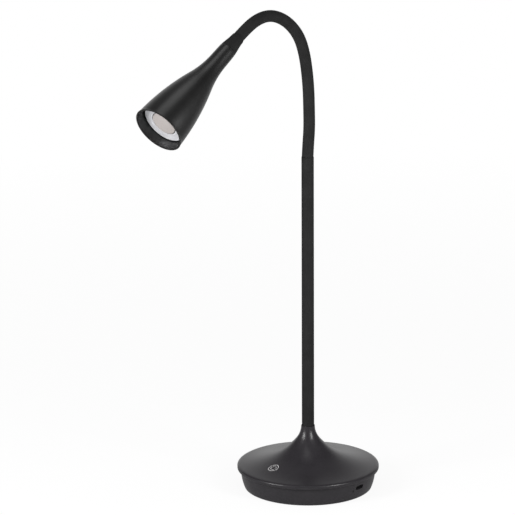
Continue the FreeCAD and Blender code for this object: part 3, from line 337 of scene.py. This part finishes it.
# the lip, out and down from where the brim ends, and the inner side down to the bore for the tube
LIP = [(1.2, 0.2), (2.3, 0.55), (3.05, 1.0), (3.4, 1.5), (3.5, 1.95), (3.5, 3.0), (3.5, 4.0), (3.4, 4.4),
       (3.15, 4.7), (2.75, 4.88), (2.3, 4.9), (-0.2, 4.9), (-0.6, 1.9)]
INNER_SIDE = [(56.0, 27.3), (42.0, 30.4), (30.0, 35.0), (22.0, 40.4), (5.2, 40.4)]
profile = [(NECK_BORE, NECK_TOP - 3), (NECK_BORE, NECK_TOP - 0.2), (NECK_BORE + 0.2, NECK_TOP),
           (NECK_RADIUS - NECK_EDGE, NECK_TOP), (NECK_RADIUS, NECK_TOP - NECK_EDGE)]
profile += arc(THROAT, (NECK_RADIUS, NECK_TOP), 90, THROAT_END, FLARE_STEPS, -1, -1, False)[1:]
profile += arc(FLARE, profile[-1], THROAT_END, FLARE_END, FLARE_STEPS, -1, -1, False)
profile += arc(BRIM, profile[-1], FLARE_END, BRIM_END, FLARE_STEPS, -1, -1, False)
lip_x, lip_z = profile[-1]
profile += [(lip_x + out_by, lip_z - down_by) for out_by, down_by in LIP] + INNER_SIDE
cover = turn_profile("trumpet_cover", profile, 192)
dress(cover, abs_satin)
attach(cover, "base")
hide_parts("base_cover")


# Touch mark
# A round on/off mark printed in light grey on the cover over the touch electrode: a ring, a broken
# inner ring and a bar. It has no travel.

# pad-printed ink: dull light grey, uneven at 0.4 mm
ink, tree, out = new_material("pad_printed_ink")
spot = add_node(tree, "ShaderNodeTexCoord")
grain = add_node(tree, "ShaderNodeTexNoise", {
    "Vector": spot.outputs["Object"], "Scale": 2500.0, "Detail": 2.0})
ramp = add_node(tree, "ShaderNodeValToRGB", {"Fac": grain.outputs["Fac"]})
ramp.color_ramp.elements[0].color = tone("#d2d0d1")
ramp.color_ramp.elements[1].color = tone("#e4e2e3")
skin = add_node(tree, "ShaderNodeBsdfPrincipled", {"Base Color": ramp.outputs["Color"], "Roughness": 0.6})
tree.links.new(skin.outputs["BSDF"], out.inputs["Surface"])

# the mark is drawn flat above the cover, and projected down onto it
MARK_PLACE = Vector((-0.0075, -0.0480, 0))
MARK_HEIGHT, INK_LIFT = 60.0, 0.04
BAR_WIDTH, BAR_LENGTH, BAR_MIDDLE = 0.4, 1.6, 2.6


def printed_band(name, inner, outer, gap_from=0.0, gap_to=0.0):
    """A flat ring in mm over the mark's place, open between two angles in degrees."""
    band = start_ring(name, outer, MARK_HEIGHT, 64)
    bpy.ops.mesh.extrude_region_move()
    share = inner / outer
    bpy.ops.transform.resize(value=(share, share, 1), center_override=(0, 0, MARK_HEIGHT * MM))
    bpy.ops.mesh.select_mode(type="FACE")
    bpy.ops.mesh.select_all(action="DESELECT")
    bpy.ops.object.mode_set(mode="OBJECT")
    for face in band.data.polygons:
        turn = math.degrees(math.atan2(face.center.y, face.center.x)) % 360
        face.select = gap_from < turn < gap_to
    bpy.ops.object.mode_set(mode="EDIT")
    bpy.ops.mesh.delete(type="FACE")
    bpy.ops.mesh.select_all(action="SELECT")
    bpy.ops.mesh.normals_make_consistent(inside=False)
    bpy.ops.object.mode_set(mode="OBJECT")
    return band


bands = [printed_band("touch_mark", 5.15, 5.6), printed_band("mark_inner", 2.8, 3.15, 60, 120)]
bpy.ops.mesh.primitive_grid_add(
    x_subdivisions=1, y_subdivisions=6, size=1, location=(0, BAR_MIDDLE * MM, MARK_HEIGHT * MM))
bpy.context.active_object.scale = (BAR_WIDTH * MM, BAR_LENGTH * MM, 1)
bands.append(bpy.context.active_object)
bpy.ops.object.transform_apply(location=True, rotation=True, scale=True)
bpy.ops.object.select_all(action="DESELECT")
for band in bands:
    band.select_set(True)
bpy.context.view_layer.objects.active = bands[0]
bpy.ops.object.join()
mark = bpy.context.active_object
mark.matrix_world = Matrix.Translation(MARK_PLACE)
bpy.ops.object.transform_apply(location=True, rotation=True, scale=True)
wrap = mark.modifiers.new("wrap", "SHRINKWRAP")
wrap.target = cover
wrap.wrap_method = "PROJECT"
wrap.use_project_z = True
wrap.use_negative_direction = True
wrap.use_positive_direction = False
wrap.offset = INK_LIFT * MM
bpy.ops.object.modifier_apply(modifier="wrap")
dress(mark, ink)
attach(mark, "base")


# Stem sleeve
# A soft silicone rubber sleeve drawn over the steel tube, extruded, with a fine matte skin. Its
# foot stands in the cover's neck and its top laps the neck's thinner sleeve.

# extruded silicone: dull black with 11 mm clouds and a powdery speckle, drawn at 0.4 mm so that it
# shows
silicone, tree, out = new_material("extruded_silicone_matte")
spot = add_node(tree, "ShaderNodeTexCoord")
grain = add_node(tree, "ShaderNodeTexNoise", {
    "Vector": spot.outputs["Object"], "Scale": 2500.0, "Detail": 3.0, "Roughness": 0.65})
cloud = add_node(tree, "ShaderNodeTexNoise", {
    "Vector": spot.outputs["Object"], "Scale": 90.0, "Detail": 3.0})
blotch = add_node(tree, "ShaderNodeMath", {
    0: cloud.outputs["Fac"], 1: 0.5}, operation="MULTIPLY")
speck = add_node(tree, "ShaderNodeMath", {
    0: grain.outputs["Fac"], 1: 0.5, 2: blotch.outputs["Value"]}, operation="MULTIPLY_ADD")
ramp = add_node(tree, "ShaderNodeValToRGB", {"Fac": speck.outputs["Value"]})
ramp.color_ramp.elements[0].position = 0.35
ramp.color_ramp.elements[0].color = tone("#1d1d1d")
ramp.color_ramp.elements[1].position = 0.65
ramp.color_ramp.elements[1].color = tone("#252525")
relief = add_node(tree, "ShaderNodeBump", {
    "Strength": 0.5, "Distance": 0.04 * MM, "Height": grain.outputs["Fac"]})
skin = add_node(tree, "ShaderNodeBsdfPrincipled", {
    "Base Color": ramp.outputs["Color"], "Roughness": 0.7, "IOR": 1.42, "Specular IOR Level": 0.15,
    "Normal": relief.outputs["Normal"]})
tree.links.new(skin.outputs["BSDF"], out.inputs["Surface"])

STEM_FOOT, STEM_TOP, STEM_BORE, SLEEVE_RADIUS = 67.6, 362.8, 5.05, 6.5
TOP_ROUND, STEM_STEPS = 1.0, 12
straight = STEM_TOP - TOP_ROUND - STEM_FOOT
profile = [(STEM_BORE, STEM_FOOT), (SLEEVE_RADIUS, STEM_FOOT)]
profile += [(SLEEVE_RADIUS, STEM_FOOT + straight * k / STEM_STEPS) for k in range(1, STEM_STEPS + 1)]
profile += [(SLEEVE_RADIUS - 0.03, STEM_TOP - 0.6), (SLEEVE_RADIUS - 0.12, STEM_TOP - 0.25),
            (SLEEVE_RADIUS - 0.28, STEM_TOP - 0.02), (SLEEVE_RADIUS - 0.5, STEM_TOP), (STEM_BORE, STEM_TOP)]
stem = turn_profile("stem_skin", profile, 64)
dress(stem, silicone)
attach(stem, "base")
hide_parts("stem_sleeve")


# Bendable neck
# A gooseneck of wound steel hose in a soft silicone sleeve. It keeps the bend that a hand gives it;
# at rest it rises, turns over and comes down to the head.
LINK, HINGES = 41.0, 5
NECK_LENGTH = (HINGES + 1) * LINK
NECK_SLEEVE, NECK_HOSE = 6.15, 4.6
# its six stretches bend as two halves each, in degrees; the first leans back where it leaves the stem
FIRST_LEAN = -3.8
TURNS = [-2.4, 7.4, 0.8, 4.9, 4.8, 10.1, 19.1, 14.2, 16.0, 22.6, 19.2, 6.6]


def neck_at(way):
    """Place in mm and lean in radians of the neck's middle line, a way along it in mm."""
    place, lean = Vector((0, 0, STEM_TOP)), math.radians(FIRST_LEAN)
    for turn in TURNS:
        run = min(max(way, 0.0), LINK / 2)
        bend = math.radians(turn) * run / (LINK / 2)
        chord = run * math.sin(bend / 2) / (bend / 2) if abs(bend) > 1e-9 else run
        place += Vector((0, -chord * math.sin(lean + bend / 2), chord * math.cos(lean + bend / 2)))
        lean += bend
        way -= LINK / 2
        if way <= 0:
            break
    return place, lean


def bent_tube(name, ways, radius, sides):
    """A tube along the middle line: a Bezier curve with a point at each way, its arcs true circles."""
    bpy.ops.object.select_all(action="DESELECT")
    bpy.ops.curve.primitive_bezier_curve_add(location=(0, 0, 0))
    tube = bpy.context.active_object
    tube.name = name
    line = tube.data.splines[0].bezier_points
    line.add(len(ways) - len(line))
    leans = [neck_at(way)[1] for way in ways]
    for i, way in enumerate(ways):
        place, lean = neck_at(way)
        aim = Vector((0, -math.sin(lean), math.cos(lean)))
        reach = []
        for j in (i - 1, i + 1):
            j = min(max(j, 0), len(ways) - 1)
            span, turn = abs(ways[j] - way), abs(leans[j] - lean)
            reach.append(span / 3 if turn < 1e-6 else 4 / 3 * math.tan(turn / 4) * span / turn)
        line[i].handle_left_type = line[i].handle_right_type = "FREE"
        line[i].co = place * MM
        line[i].handle_left = (place - aim * (reach[0] or reach[1])) * MM
        line[i].handle_right = (place + aim * (reach[1] or reach[0])) * MM
    tube.data.dimensions = "3D"
    tube.data.resolution_u = 10
    tube.data.bevel_depth = radius * MM
    tube.data.bevel_resolution = sides // 2 - 2
    tube.data.use_fill_caps = False
    bpy.ops.object.convert(target="MESH")
    bpy.ops.object.mode_set(mode="EDIT")
    bpy.ops.mesh.select_all(action="SELECT")
    bpy.ops.mesh.remove_doubles(threshold=SAME_PLACE)
    bpy.ops.mesh.normals_make_consistent(inside=False)
    bpy.ops.object.mode_set(mode="OBJECT")
    bpy.ops.object.shade_smooth()
    return tube


# wound spring steel: bright grey metal, scuffed at 1.1 mm
wound_steel, tree, out = new_material("wound_spring_steel")
spot = add_node(tree, "ShaderNodeTexCoord")
scuff = add_node(tree, "ShaderNodeTexNoise", {
    "Vector": spot.outputs["Object"], "Scale": 900.0, "Detail": 3.0})
ramp = add_node(tree, "ShaderNodeValToRGB", {"Fac": scuff.outputs["Fac"]})
ramp.color_ramp.elements[0].color = tone("#6f7175")
ramp.color_ramp.elements[1].color = tone("#8f9296")
skin = add_node(tree, "ShaderNodeBsdfPrincipled", {
    "Base Color": ramp.outputs["Color"], "Metallic": 1.0, "Roughness": 0.35})
tree.links.new(skin.outputs["BSDF"], out.inputs["Surface"])

# a piece goes with each hinge, from the middle of one stretch to the middle of the next; the first
# and the last go on to the neck's ends
for i in range(HINGES):
    before, hinge, after = ((i + half) * LINK for half in (0.5, 1, 1.5))
    low = 0.0 if i == 0 else before
    high = NECK_LENGTH if i == HINGES - 1 else after
    ways = [low] + [way for way in (before, hinge, after) if low < way < high] + [high]
    blend_from = neck_at(before)[0] * MM
    blend_to = neck_at(after)[0] * MM
    sleeve = bent_tube("neck_skin_%d" % (i + 1), ways, NECK_SLEEVE, 48)
    dress(sleeve, silicone)
    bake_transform(sleeve)
    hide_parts("neck_sleeve_%d" % (i + 1))
    hose = bent_tube("neck_hose_%d" % (i + 1), ways, NECK_HOSE, 24)
    dress(hose, wound_steel)
    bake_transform(hose)
    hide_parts("neck_link_%d" % (i + 1), *(["neck_link_6"] if i == 4 else []))


# Neck boot
# A soft silicone boot that takes the neck into the head. It starts with a small step over the
# sleeve and flares until it meets the shell.
neck_end, neck_lean = neck_at(NECK_LENGTH)
head_frame = Matrix.Translation(neck_end * MM) @ Matrix.Rotation(neck_lean, 4, "X")


def set_on_head(piece):
    """Moves a piece made upright at the origin onto the head's axis, and applies its place."""
    bpy.ops.object.select_all(action="DESELECT")
    piece.select_set(True)
    bpy.context.view_layer.objects.active = piece
    piece.matrix_world = head_frame
    bpy.ops.object.transform_apply(location=True, rotation=True, scale=True)
    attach(piece, "head")


# from here on, a profile's height is the way along the head's axis from the end of the neck
BOOT_LENGTH, BOOT_BORE, HEAD_BORE, CLEARANCE = 19.5, 5.9, 7.5, 0.02
profile = [(BOOT_BORE, CLEARANCE), (6.55, 0.05), (6.8, 0.35), (6.88, 0.9), (6.95, 2.0), (7.08, 4.0),
           (7.35, 6.5), (7.7, 9.0), (8.1, 11.5), (8.48, 14.0), (8.82, 16.5), (9.0, 18.2), (9.06, 19.0),
           (8.98, 19.35), (8.8, BOOT_LENGTH - CLEARANCE), (HEAD_BORE, BOOT_LENGTH - CLEARANCE)]
boot = turn_profile("boot", profile, 64)
dress(boot, silicone)
set_on_head(boot)
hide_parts("neck_boot")


# Head shell
# The bell-shaped shade, spun aluminium with a satin black paint: a nearly straight neck end, a
# hollow and then a bulging stretch, and a fine bead around the open mouth. Black inside.

# sprayed paint: satin black with 17 mm clouds in the colour and a 0.9 mm orange peel
head_paint, tree, out = new_material("satin_black_paint")
spot = add_node(tree, "ShaderNodeTexCoord")
peel = add_node(tree, "ShaderNodeTexNoise", {
    "Vector": spot.outputs["Object"], "Scale": 1100.0, "Detail": 2.0, "Roughness": 0.5})
cloud = add_node(tree, "ShaderNodeTexNoise", {
    "Vector": spot.outputs["Object"], "Scale": 60.0, "Detail": 2.0})
ramp = add_node(tree, "ShaderNodeValToRGB", {"Fac": cloud.outputs["Fac"]})
ramp.color_ramp.elements[0].position = 0.3
ramp.color_ramp.elements[0].color = tone("#161616")
ramp.color_ramp.elements[1].position = 0.7
ramp.color_ramp.elements[1].color = tone("#1a1a1a")
relief = add_node(tree, "ShaderNodeBump", {
    "Strength": 0.2, "Distance": 0.01 * MM, "Height": peel.outputs["Fac"]})
skin = add_node(tree, "ShaderNodeBsdfPrincipled", {
    "Base Color": ramp.outputs["Color"], "Roughness": 0.38, "IOR": 1.5, "Specular IOR Level": 0.6,
    "Normal": relief.outputs["Normal"]})
tree.links.new(skin.outputs["BSDF"], out.inputs["Surface"])

SHADE_RADIUS, SHADE_NECK, SHADE_WALL, NECK_STEPS = 9.25, 17.3, 1.4, 6
# radii of the hollow and of the bulge, and slopes in degrees at the neck, between them and at the mouth
HOLLOW, BULGE = 122.5, 305.0
NECK_SLOPE, HOLLOW_SLOPE, MOUTH_SLOPE = 1.3, 16.6, 2.6
BEAD, BEAD_LENGTH = 0.45, 1.4
# the shell's closed end, which the nut inside clamps
SHELL_END, SHELL_BORE = BOOT_LENGTH + 2.6, 4.6
bell = [(SHADE_RADIUS - 0.5, BOOT_LENGTH), (SHADE_RADIUS - 0.15, BOOT_LENGTH + 0.1),
        (SHADE_RADIUS, BOOT_LENGTH + 0.45)]
for k in range(1, NECK_STEPS + 1):
    run = SHADE_NECK * k / NECK_STEPS
    bell += [(SHADE_RADIUS + run * math.tan(math.radians(NECK_SLOPE)), BOOT_LENGTH + run)]
bell += arc(HOLLOW, bell[-1], NECK_SLOPE, HOLLOW_SLOPE, 14, -1, 1, True)
bell += arc(BULGE, bell[-1], HOLLOW_SLOPE, MOUTH_SLOPE, 22, 1, -1, True)
mouth_radius, mouth_start = bell[-1]
SHADE_END = mouth_start + BEAD_LENGTH
wall = [(r - SHADE_WALL, t) for r, t in bell if t > BOOT_LENGTH + 3]
profile = bell + [
    (mouth_radius + 0.02, mouth_start + 0.1), (mouth_radius + 0.3, mouth_start + 0.5),
    (mouth_radius + BEAD, mouth_start + 1.1), (mouth_radius + BEAD, SHADE_END - 0.45),
    (mouth_radius + 0.32, SHADE_END - 0.12), (mouth_radius, SHADE_END), (mouth_radius - 0.9, SHADE_END),
    (mouth_radius - 1.25, SHADE_END - 0.15), (mouth_radius - SHADE_WALL, SHADE_END - 0.5)]
profile += list(reversed(wall)) + [(wall[0][0], SHELL_END), (SHELL_BORE, SHELL_END)]
bell_shell = turn_profile("bell_shell", profile, 128)
dress(bell_shell, head_paint)
set_on_head(bell_shell)
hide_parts("shade")


# Trim ring
# A bright silver ring of moulded and metallised plastic behind the mouth, pressed into the shell. It
# carries the lens.

# metallised plastic: pale silver, its gloss uneven at 1.4 mm
silver, tree, out = new_material("chromed_plastic_ring")
spot = add_node(tree, "ShaderNodeTexCoord")
dust = add_node(tree, "ShaderNodeTexNoise", {
    "Vector": spot.outputs["Object"], "Scale": 700.0, "Detail": 3.0})
sheen = add_node(tree, "ShaderNodeMapRange", {
    "Value": dust.outputs["Fac"], "To Min": 0.26, "To Max": 0.28})
ramp = add_node(tree, "ShaderNodeValToRGB", {"Fac": dust.outputs["Fac"]})
ramp.color_ramp.elements[0].color = tone("#d8d8dc")
ramp.color_ramp.elements[1].color = tone("#dcdce0")
skin = add_node(tree, "ShaderNodeBsdfPrincipled", {
    "Base Color": ramp.outputs["Color"], "Roughness": sheen.outputs["Result"], "Metallic": 0.3})
tree.links.new(skin.outputs["BSDF"], out.inputs["Surface"])

RING_FRONT, RING_BORE, RING_OUTER = SHADE_END - 10.3, 16.8, 23.7
RING_REAR = RING_FRONT - 1.6
profile = [(RING_BORE, RING_REAR), (RING_OUTER, RING_REAR), (RING_OUTER, RING_FRONT - 0.3),
           (RING_OUTER - 0.4, RING_FRONT), (RING_BORE + 1.2, RING_FRONT - 0.5),
           (RING_BORE + 0.5, RING_FRONT - 0.3), (RING_BORE, RING_FRONT - 0.6)]
trim = turn_profile("trim", profile, 96, True)
dress(trim, silver)
set_on_head(trim)
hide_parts("trim_ring")


# Lens
# A moulded disc of frosted acrylic with a raised middle, set in the trim ring. A dark rubber ring in the
# groove around the middle is painted shade for that groove, and a silver bezel lies around it. The lamp is
# off.

# frosted acrylic: warm grey and dull, with 1 mm dimples
frosted, tree, out = new_material("frosted_acrylic")
spot = add_node(tree, "ShaderNodeTexCoord")
dimple = add_node(tree, "ShaderNodeTexVoronoi", {"Vector": spot.outputs["Object"], "Scale": 1000.0})
ramp = add_node(tree, "ShaderNodeValToRGB", {"Fac": dimple.outputs["Distance"]})
ramp.color_ramp.elements[0].color = tone("#9c9593")
ramp.color_ramp.elements[1].color = tone("#a9a3a0")
relief = add_node(tree, "ShaderNodeBump", {
    "Strength": 0.3, "Distance": 0.05 * MM, "Height": dimple.outputs["Distance"]})
skin = add_node(tree, "ShaderNodeBsdfPrincipled", {
    "Base Color": ramp.outputs["Color"], "Roughness": 0.5, "IOR": 1.49, "Normal": relief.outputs["Normal"]})
tree.links.new(skin.outputs["BSDF"], out.inputs["Surface"])

LENS_RADIUS, LENS_MIDDLE, LENS_SHELF = RING_BORE - 0.05, 13.65, RING_FRONT - 0.7
profile = [(AXIS, RING_FRONT + 1.2), (5.0, RING_FRONT + 1.15), (10.0, RING_FRONT + 1.0),
           (13.2, RING_FRONT + 0.8), (13.6, RING_FRONT + 0.5), (LENS_MIDDLE, LENS_SHELF),
           (LENS_RADIUS, LENS_SHELF), (LENS_RADIUS, RING_REAR), (AXIS, RING_REAR)]
diffuser = turn_profile("diffuser", profile, 96)
dress(diffuser, frosted)
set_on_head(diffuser)
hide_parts("lens")

# the dark rubber ring in the groove around the raised middle is painted shade for the groove
GROOVE_SHADE_INNER, GROOVE_SHADE_OUTER, BEZEL_INNER = LENS_MIDDLE + CLEARANCE, 14.35, 14.37
ABOVE_SHELF, GROOVE_SHADE_FRONT = LENS_SHELF + CLEARANCE, RING_FRONT + 0.1
profile = [(GROOVE_SHADE_INNER, ABOVE_SHELF), (GROOVE_SHADE_OUTER, ABOVE_SHELF), (GROOVE_SHADE_OUTER, GROOVE_SHADE_FRONT),
           (GROOVE_SHADE_INNER, GROOVE_SHADE_FRONT)]
groove_shade = turn_profile("lens_groove_shade", profile, 96, True)
dress(groove_shade, rubber)
set_on_head(groove_shade)
profile = [(BEZEL_INNER, ABOVE_SHELF), (LENS_RADIUS, ABOVE_SHELF), (LENS_RADIUS, RING_FRONT - 0.1),
           (LENS_RADIUS - 0.25, RING_FRONT + 0.1), (14.6, RING_FRONT + 0.3), (BEZEL_INNER, RING_FRONT + 0.2)]
bezel = turn_profile("lens_bezel", profile, 96, True)
dress(bezel, silver)
set_on_head(bezel)


# Reflector and painted gap shade
# A white plastic tube with a thin brim behind the lens, moulded and glued in, and a black nylon ring in the
# shell behind
# the trim ring: painted shade for the dark gap between the trim ring and the shell's wall.

# moulded white plastic: smooth, bright and slightly glossy
white_abs = plain_finish("white_reflector_plastic", "#e6e6e4", "#eeeeec", 2.0, 0.3, 0.0, 0.005)
REFLECTOR_RADIUS, REFLECTOR_WALL, REFLECTOR_REAR = 15.0, 0.9, RING_REAR - 18.5
BRIM_RADIUS, BRIM_REAR, BRIM_FRONT = RING_OUTER - 0.6, RING_REAR - 0.9, RING_REAR - CLEARANCE
profile = [(REFLECTOR_RADIUS - REFLECTOR_WALL, REFLECTOR_REAR), (REFLECTOR_RADIUS, REFLECTOR_REAR),
           (REFLECTOR_RADIUS, BRIM_REAR), (BRIM_RADIUS, BRIM_REAR), (BRIM_RADIUS, BRIM_FRONT),
           (REFLECTOR_RADIUS - REFLECTOR_WALL, BRIM_FRONT)]
cone = turn_profile("reflector_tube", profile, 64, True)
dress(cone, white_abs)
set_on_head(cone)
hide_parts("reflector")

# the black ring is painted shade for the gap between the trim ring and the shell's wall
GAP_SHADE_INNER, GAP_SHADE_OUTER, GAP_SHADE_REAR, GAP_SHADE_FRONT = RING_OUTER - 0.8, 25.0, RING_REAR - 1.9, RING_REAR - 1.0
profile = [(GAP_SHADE_INNER, GAP_SHADE_REAR), (GAP_SHADE_OUTER, GAP_SHADE_REAR), (GAP_SHADE_OUTER, GAP_SHADE_FRONT),
           (GAP_SHADE_INNER, GAP_SHADE_FRONT)]
gap_shade = turn_profile("ring_gap_shade", profile, 96, True)
dress(gap_shade, black_nylon)
set_on_head(gap_shade)


# Studio
# A plain pale floor that keeps the lamp's shadow, a white surround and soft lamps at a plain level.
# Distances in metres.
FLOOR_SIZE = 60
WHITE = (1, 1, 1, 1)
# the level direction from the lamp to the backdrop, away from the camera
BEHIND = (-0.64, 0.77, 0)
bpy.ops.object.select_all(action="DESELECT")
bpy.ops.mesh.primitive_plane_add(size=FLOOR_SIZE, location=(0, 0, 0))
floor = bpy.context.active_object
floor.name = "floor"
paper, tree, out = new_material("white_paper")
path = add_node(tree, "ShaderNodeLightPath")
plain_paper = add_node(tree, "ShaderNodeBsdfDiffuse", {"Color": tone("#f8f8f8")})
# gloss sees a darker floor beside the lamp and in front of it
spot = add_node(tree, "ShaderNodeTexCoord")
away = add_node(tree, "ShaderNodeVectorMath", {0: spot.outputs["Object"]}, operation="LENGTH")
bearing = add_node(tree, "ShaderNodeVectorMath", {0: spot.outputs["Object"]}, operation="NORMALIZE")
behind = add_node(tree, "ShaderNodeVectorMath", {
    0: bearing.outputs["Vector"], 1: BEHIND}, operation="DOT_PRODUCT")
by_way = add_node(tree, "ShaderNodeMapRange", {
    "Value": behind.outputs["Value"], "From Min": 0.45, "From Max": 0.9, "To Min": -0.2, "To Max": 0.7})
by_reach = add_node(tree, "ShaderNodeMapRange", {
    "Value": away.outputs["Value"], "From Min": 0.2, "From Max": 1.0})
lit = add_node(tree, "ShaderNodeMath", {
    0: by_way.outputs["Result"], 1: by_reach.outputs["Result"], 2: -0.7}, operation="MULTIPLY_ADD")
shown = add_node(tree, "ShaderNodeMath", {
    0: path.outputs["Is Glossy Ray"], 1: lit.outputs["Value"], 2: 1.0}, operation="MULTIPLY_ADD")
glow = add_node(tree, "ShaderNodeEmission", {"Color": WHITE, "Strength": shown.outputs["Value"]})
# the camera, gloss and glass see nearly white paper near the lamp, with its shadow, and white far off
seen = add_node(tree, "ShaderNodeMath", {
    0: path.outputs["Is Camera Ray"], 1: path.outputs["Is Glossy Ray"]}, operation="MAXIMUM")
seen = add_node(tree, "ShaderNodeMath", {
    0: seen.outputs["Value"], 1: path.outputs["Is Transmission Ray"]}, operation="MAXIMUM")
glow_share = add_node(tree, "ShaderNodeMapRange", {
    "Value": away.outputs["Value"], "From Min": 0.3, "From Max": 1.3, "To Min": 0.9, "To Max": 1.0})
part_seen = add_node(tree, "ShaderNodeMath", {
    0: seen.outputs["Value"], 1: glow_share.outputs["Result"]}, operation="MULTIPLY")
both = add_node(tree, "ShaderNodeMixShader", {
    0: part_seen.outputs["Value"], 1: plain_paper.outputs["BSDF"], 2: glow.outputs["Emission"]})
tree.links.new(both.outputs["Shader"], out.inputs["Surface"])
dress(floor, paper)

world = bpy.data.worlds.new("studio")
world.use_nodes = True
bpy.context.scene.world = world
tree = world.node_tree
tree.nodes.clear()
out = tree.nodes.new("ShaderNodeOutputWorld")
path = add_node(tree, "ShaderNodeLightPath")
seen = add_node(tree, "ShaderNodeMath", {
    0: path.outputs["Is Camera Ray"], 1: path.outputs["Is Transmission Ray"]}, operation="MAXIMUM")
dim = add_node(tree, "ShaderNodeBackground", {"Color": WHITE, "Strength": 0.4})
bright = add_node(tree, "ShaderNodeBackground", {"Color": WHITE, "Strength": 1.0})
both = add_node(tree, "ShaderNodeMixShader", {
    0: seen.outputs["Value"], 1: dim.outputs["Background"], 2: bright.outputs["Background"]})
# gloss sees a white backdrop behind the lamp that ends under a grey ceiling
way = add_node(tree, "ShaderNodeTexCoord")
height = add_node(tree, "ShaderNodeSeparateXYZ", {"Vector": way.outputs["Generated"]})
fall = add_node(tree, "ShaderNodeMapRange", {
    "Value": height.outputs["Z"], "From Min": 0.15, "From Max": 0.7, "To Min": 1.0, "To Max": 0.1})
flat = add_node(tree, "ShaderNodeVectorMath", {
    0: way.outputs["Generated"], 1: (1, 1, 0)}, operation="MULTIPLY")
bearing = add_node(tree, "ShaderNodeVectorMath", {0: flat.outputs["Vector"]}, operation="NORMALIZE")
behind = add_node(tree, "ShaderNodeVectorMath", {
    0: bearing.outputs["Vector"], 1: BEHIND}, operation="DOT_PRODUCT")
by_way = add_node(tree, "ShaderNodeMapRange", {
    "Value": behind.outputs["Value"], "From Min": 0.75, "From Max": 0.96, "To Min": 0.1, "To Max": 1.0})
level_seen = add_node(tree, "ShaderNodeMath", {
    0: fall.outputs["Result"], 1: by_way.outputs["Result"]}, operation="MULTIPLY")
mirrored = add_node(tree, "ShaderNodeBackground", {
    "Color": WHITE, "Strength": level_seen.outputs["Value"]})
room = add_node(tree, "ShaderNodeMixShader", {
    0: path.outputs["Is Glossy Ray"], 1: both.outputs["Shader"], 2: mirrored.outputs["Background"]})
tree.links.new(room.outputs["Shader"], out.inputs["Surface"])


def soft_lamp(name, place, target, width, height, power):
    """A soft box at a place, turned to face a target, its size in metres and its power in watts."""
    bpy.ops.object.light_add(type="AREA", location=place)
    lamp = bpy.context.active_object
    lamp.name = name
    lamp.data.shape = "RECTANGLE"
    lamp.data.size, lamp.data.size_y = width, height
    lamp.data.energy = power
    lamp.visible_camera = False
    lamp.rotation_mode = "QUATERNION"
    lamp.rotation_quaternion = (Vector(target) - Vector(place)).to_track_quat("-Z", "Y")


soft_lamp("box_left", (-0.395, -1.29, 0.67), (0, 0, 0.1), 0.45, 0.75, 16.6)
soft_lamp("box_right", (0.9, -0.063, 0.48), (0, 0, 0.1), 0.3, 0.5, 6.6)
soft_lamp("box_top", (0.02, -0.13, 0.85), (0.02, -0.131, 0.48), 0.2, 0.32, 0.3)

bpy.context.scene.view_settings.view_transform = "Standard"
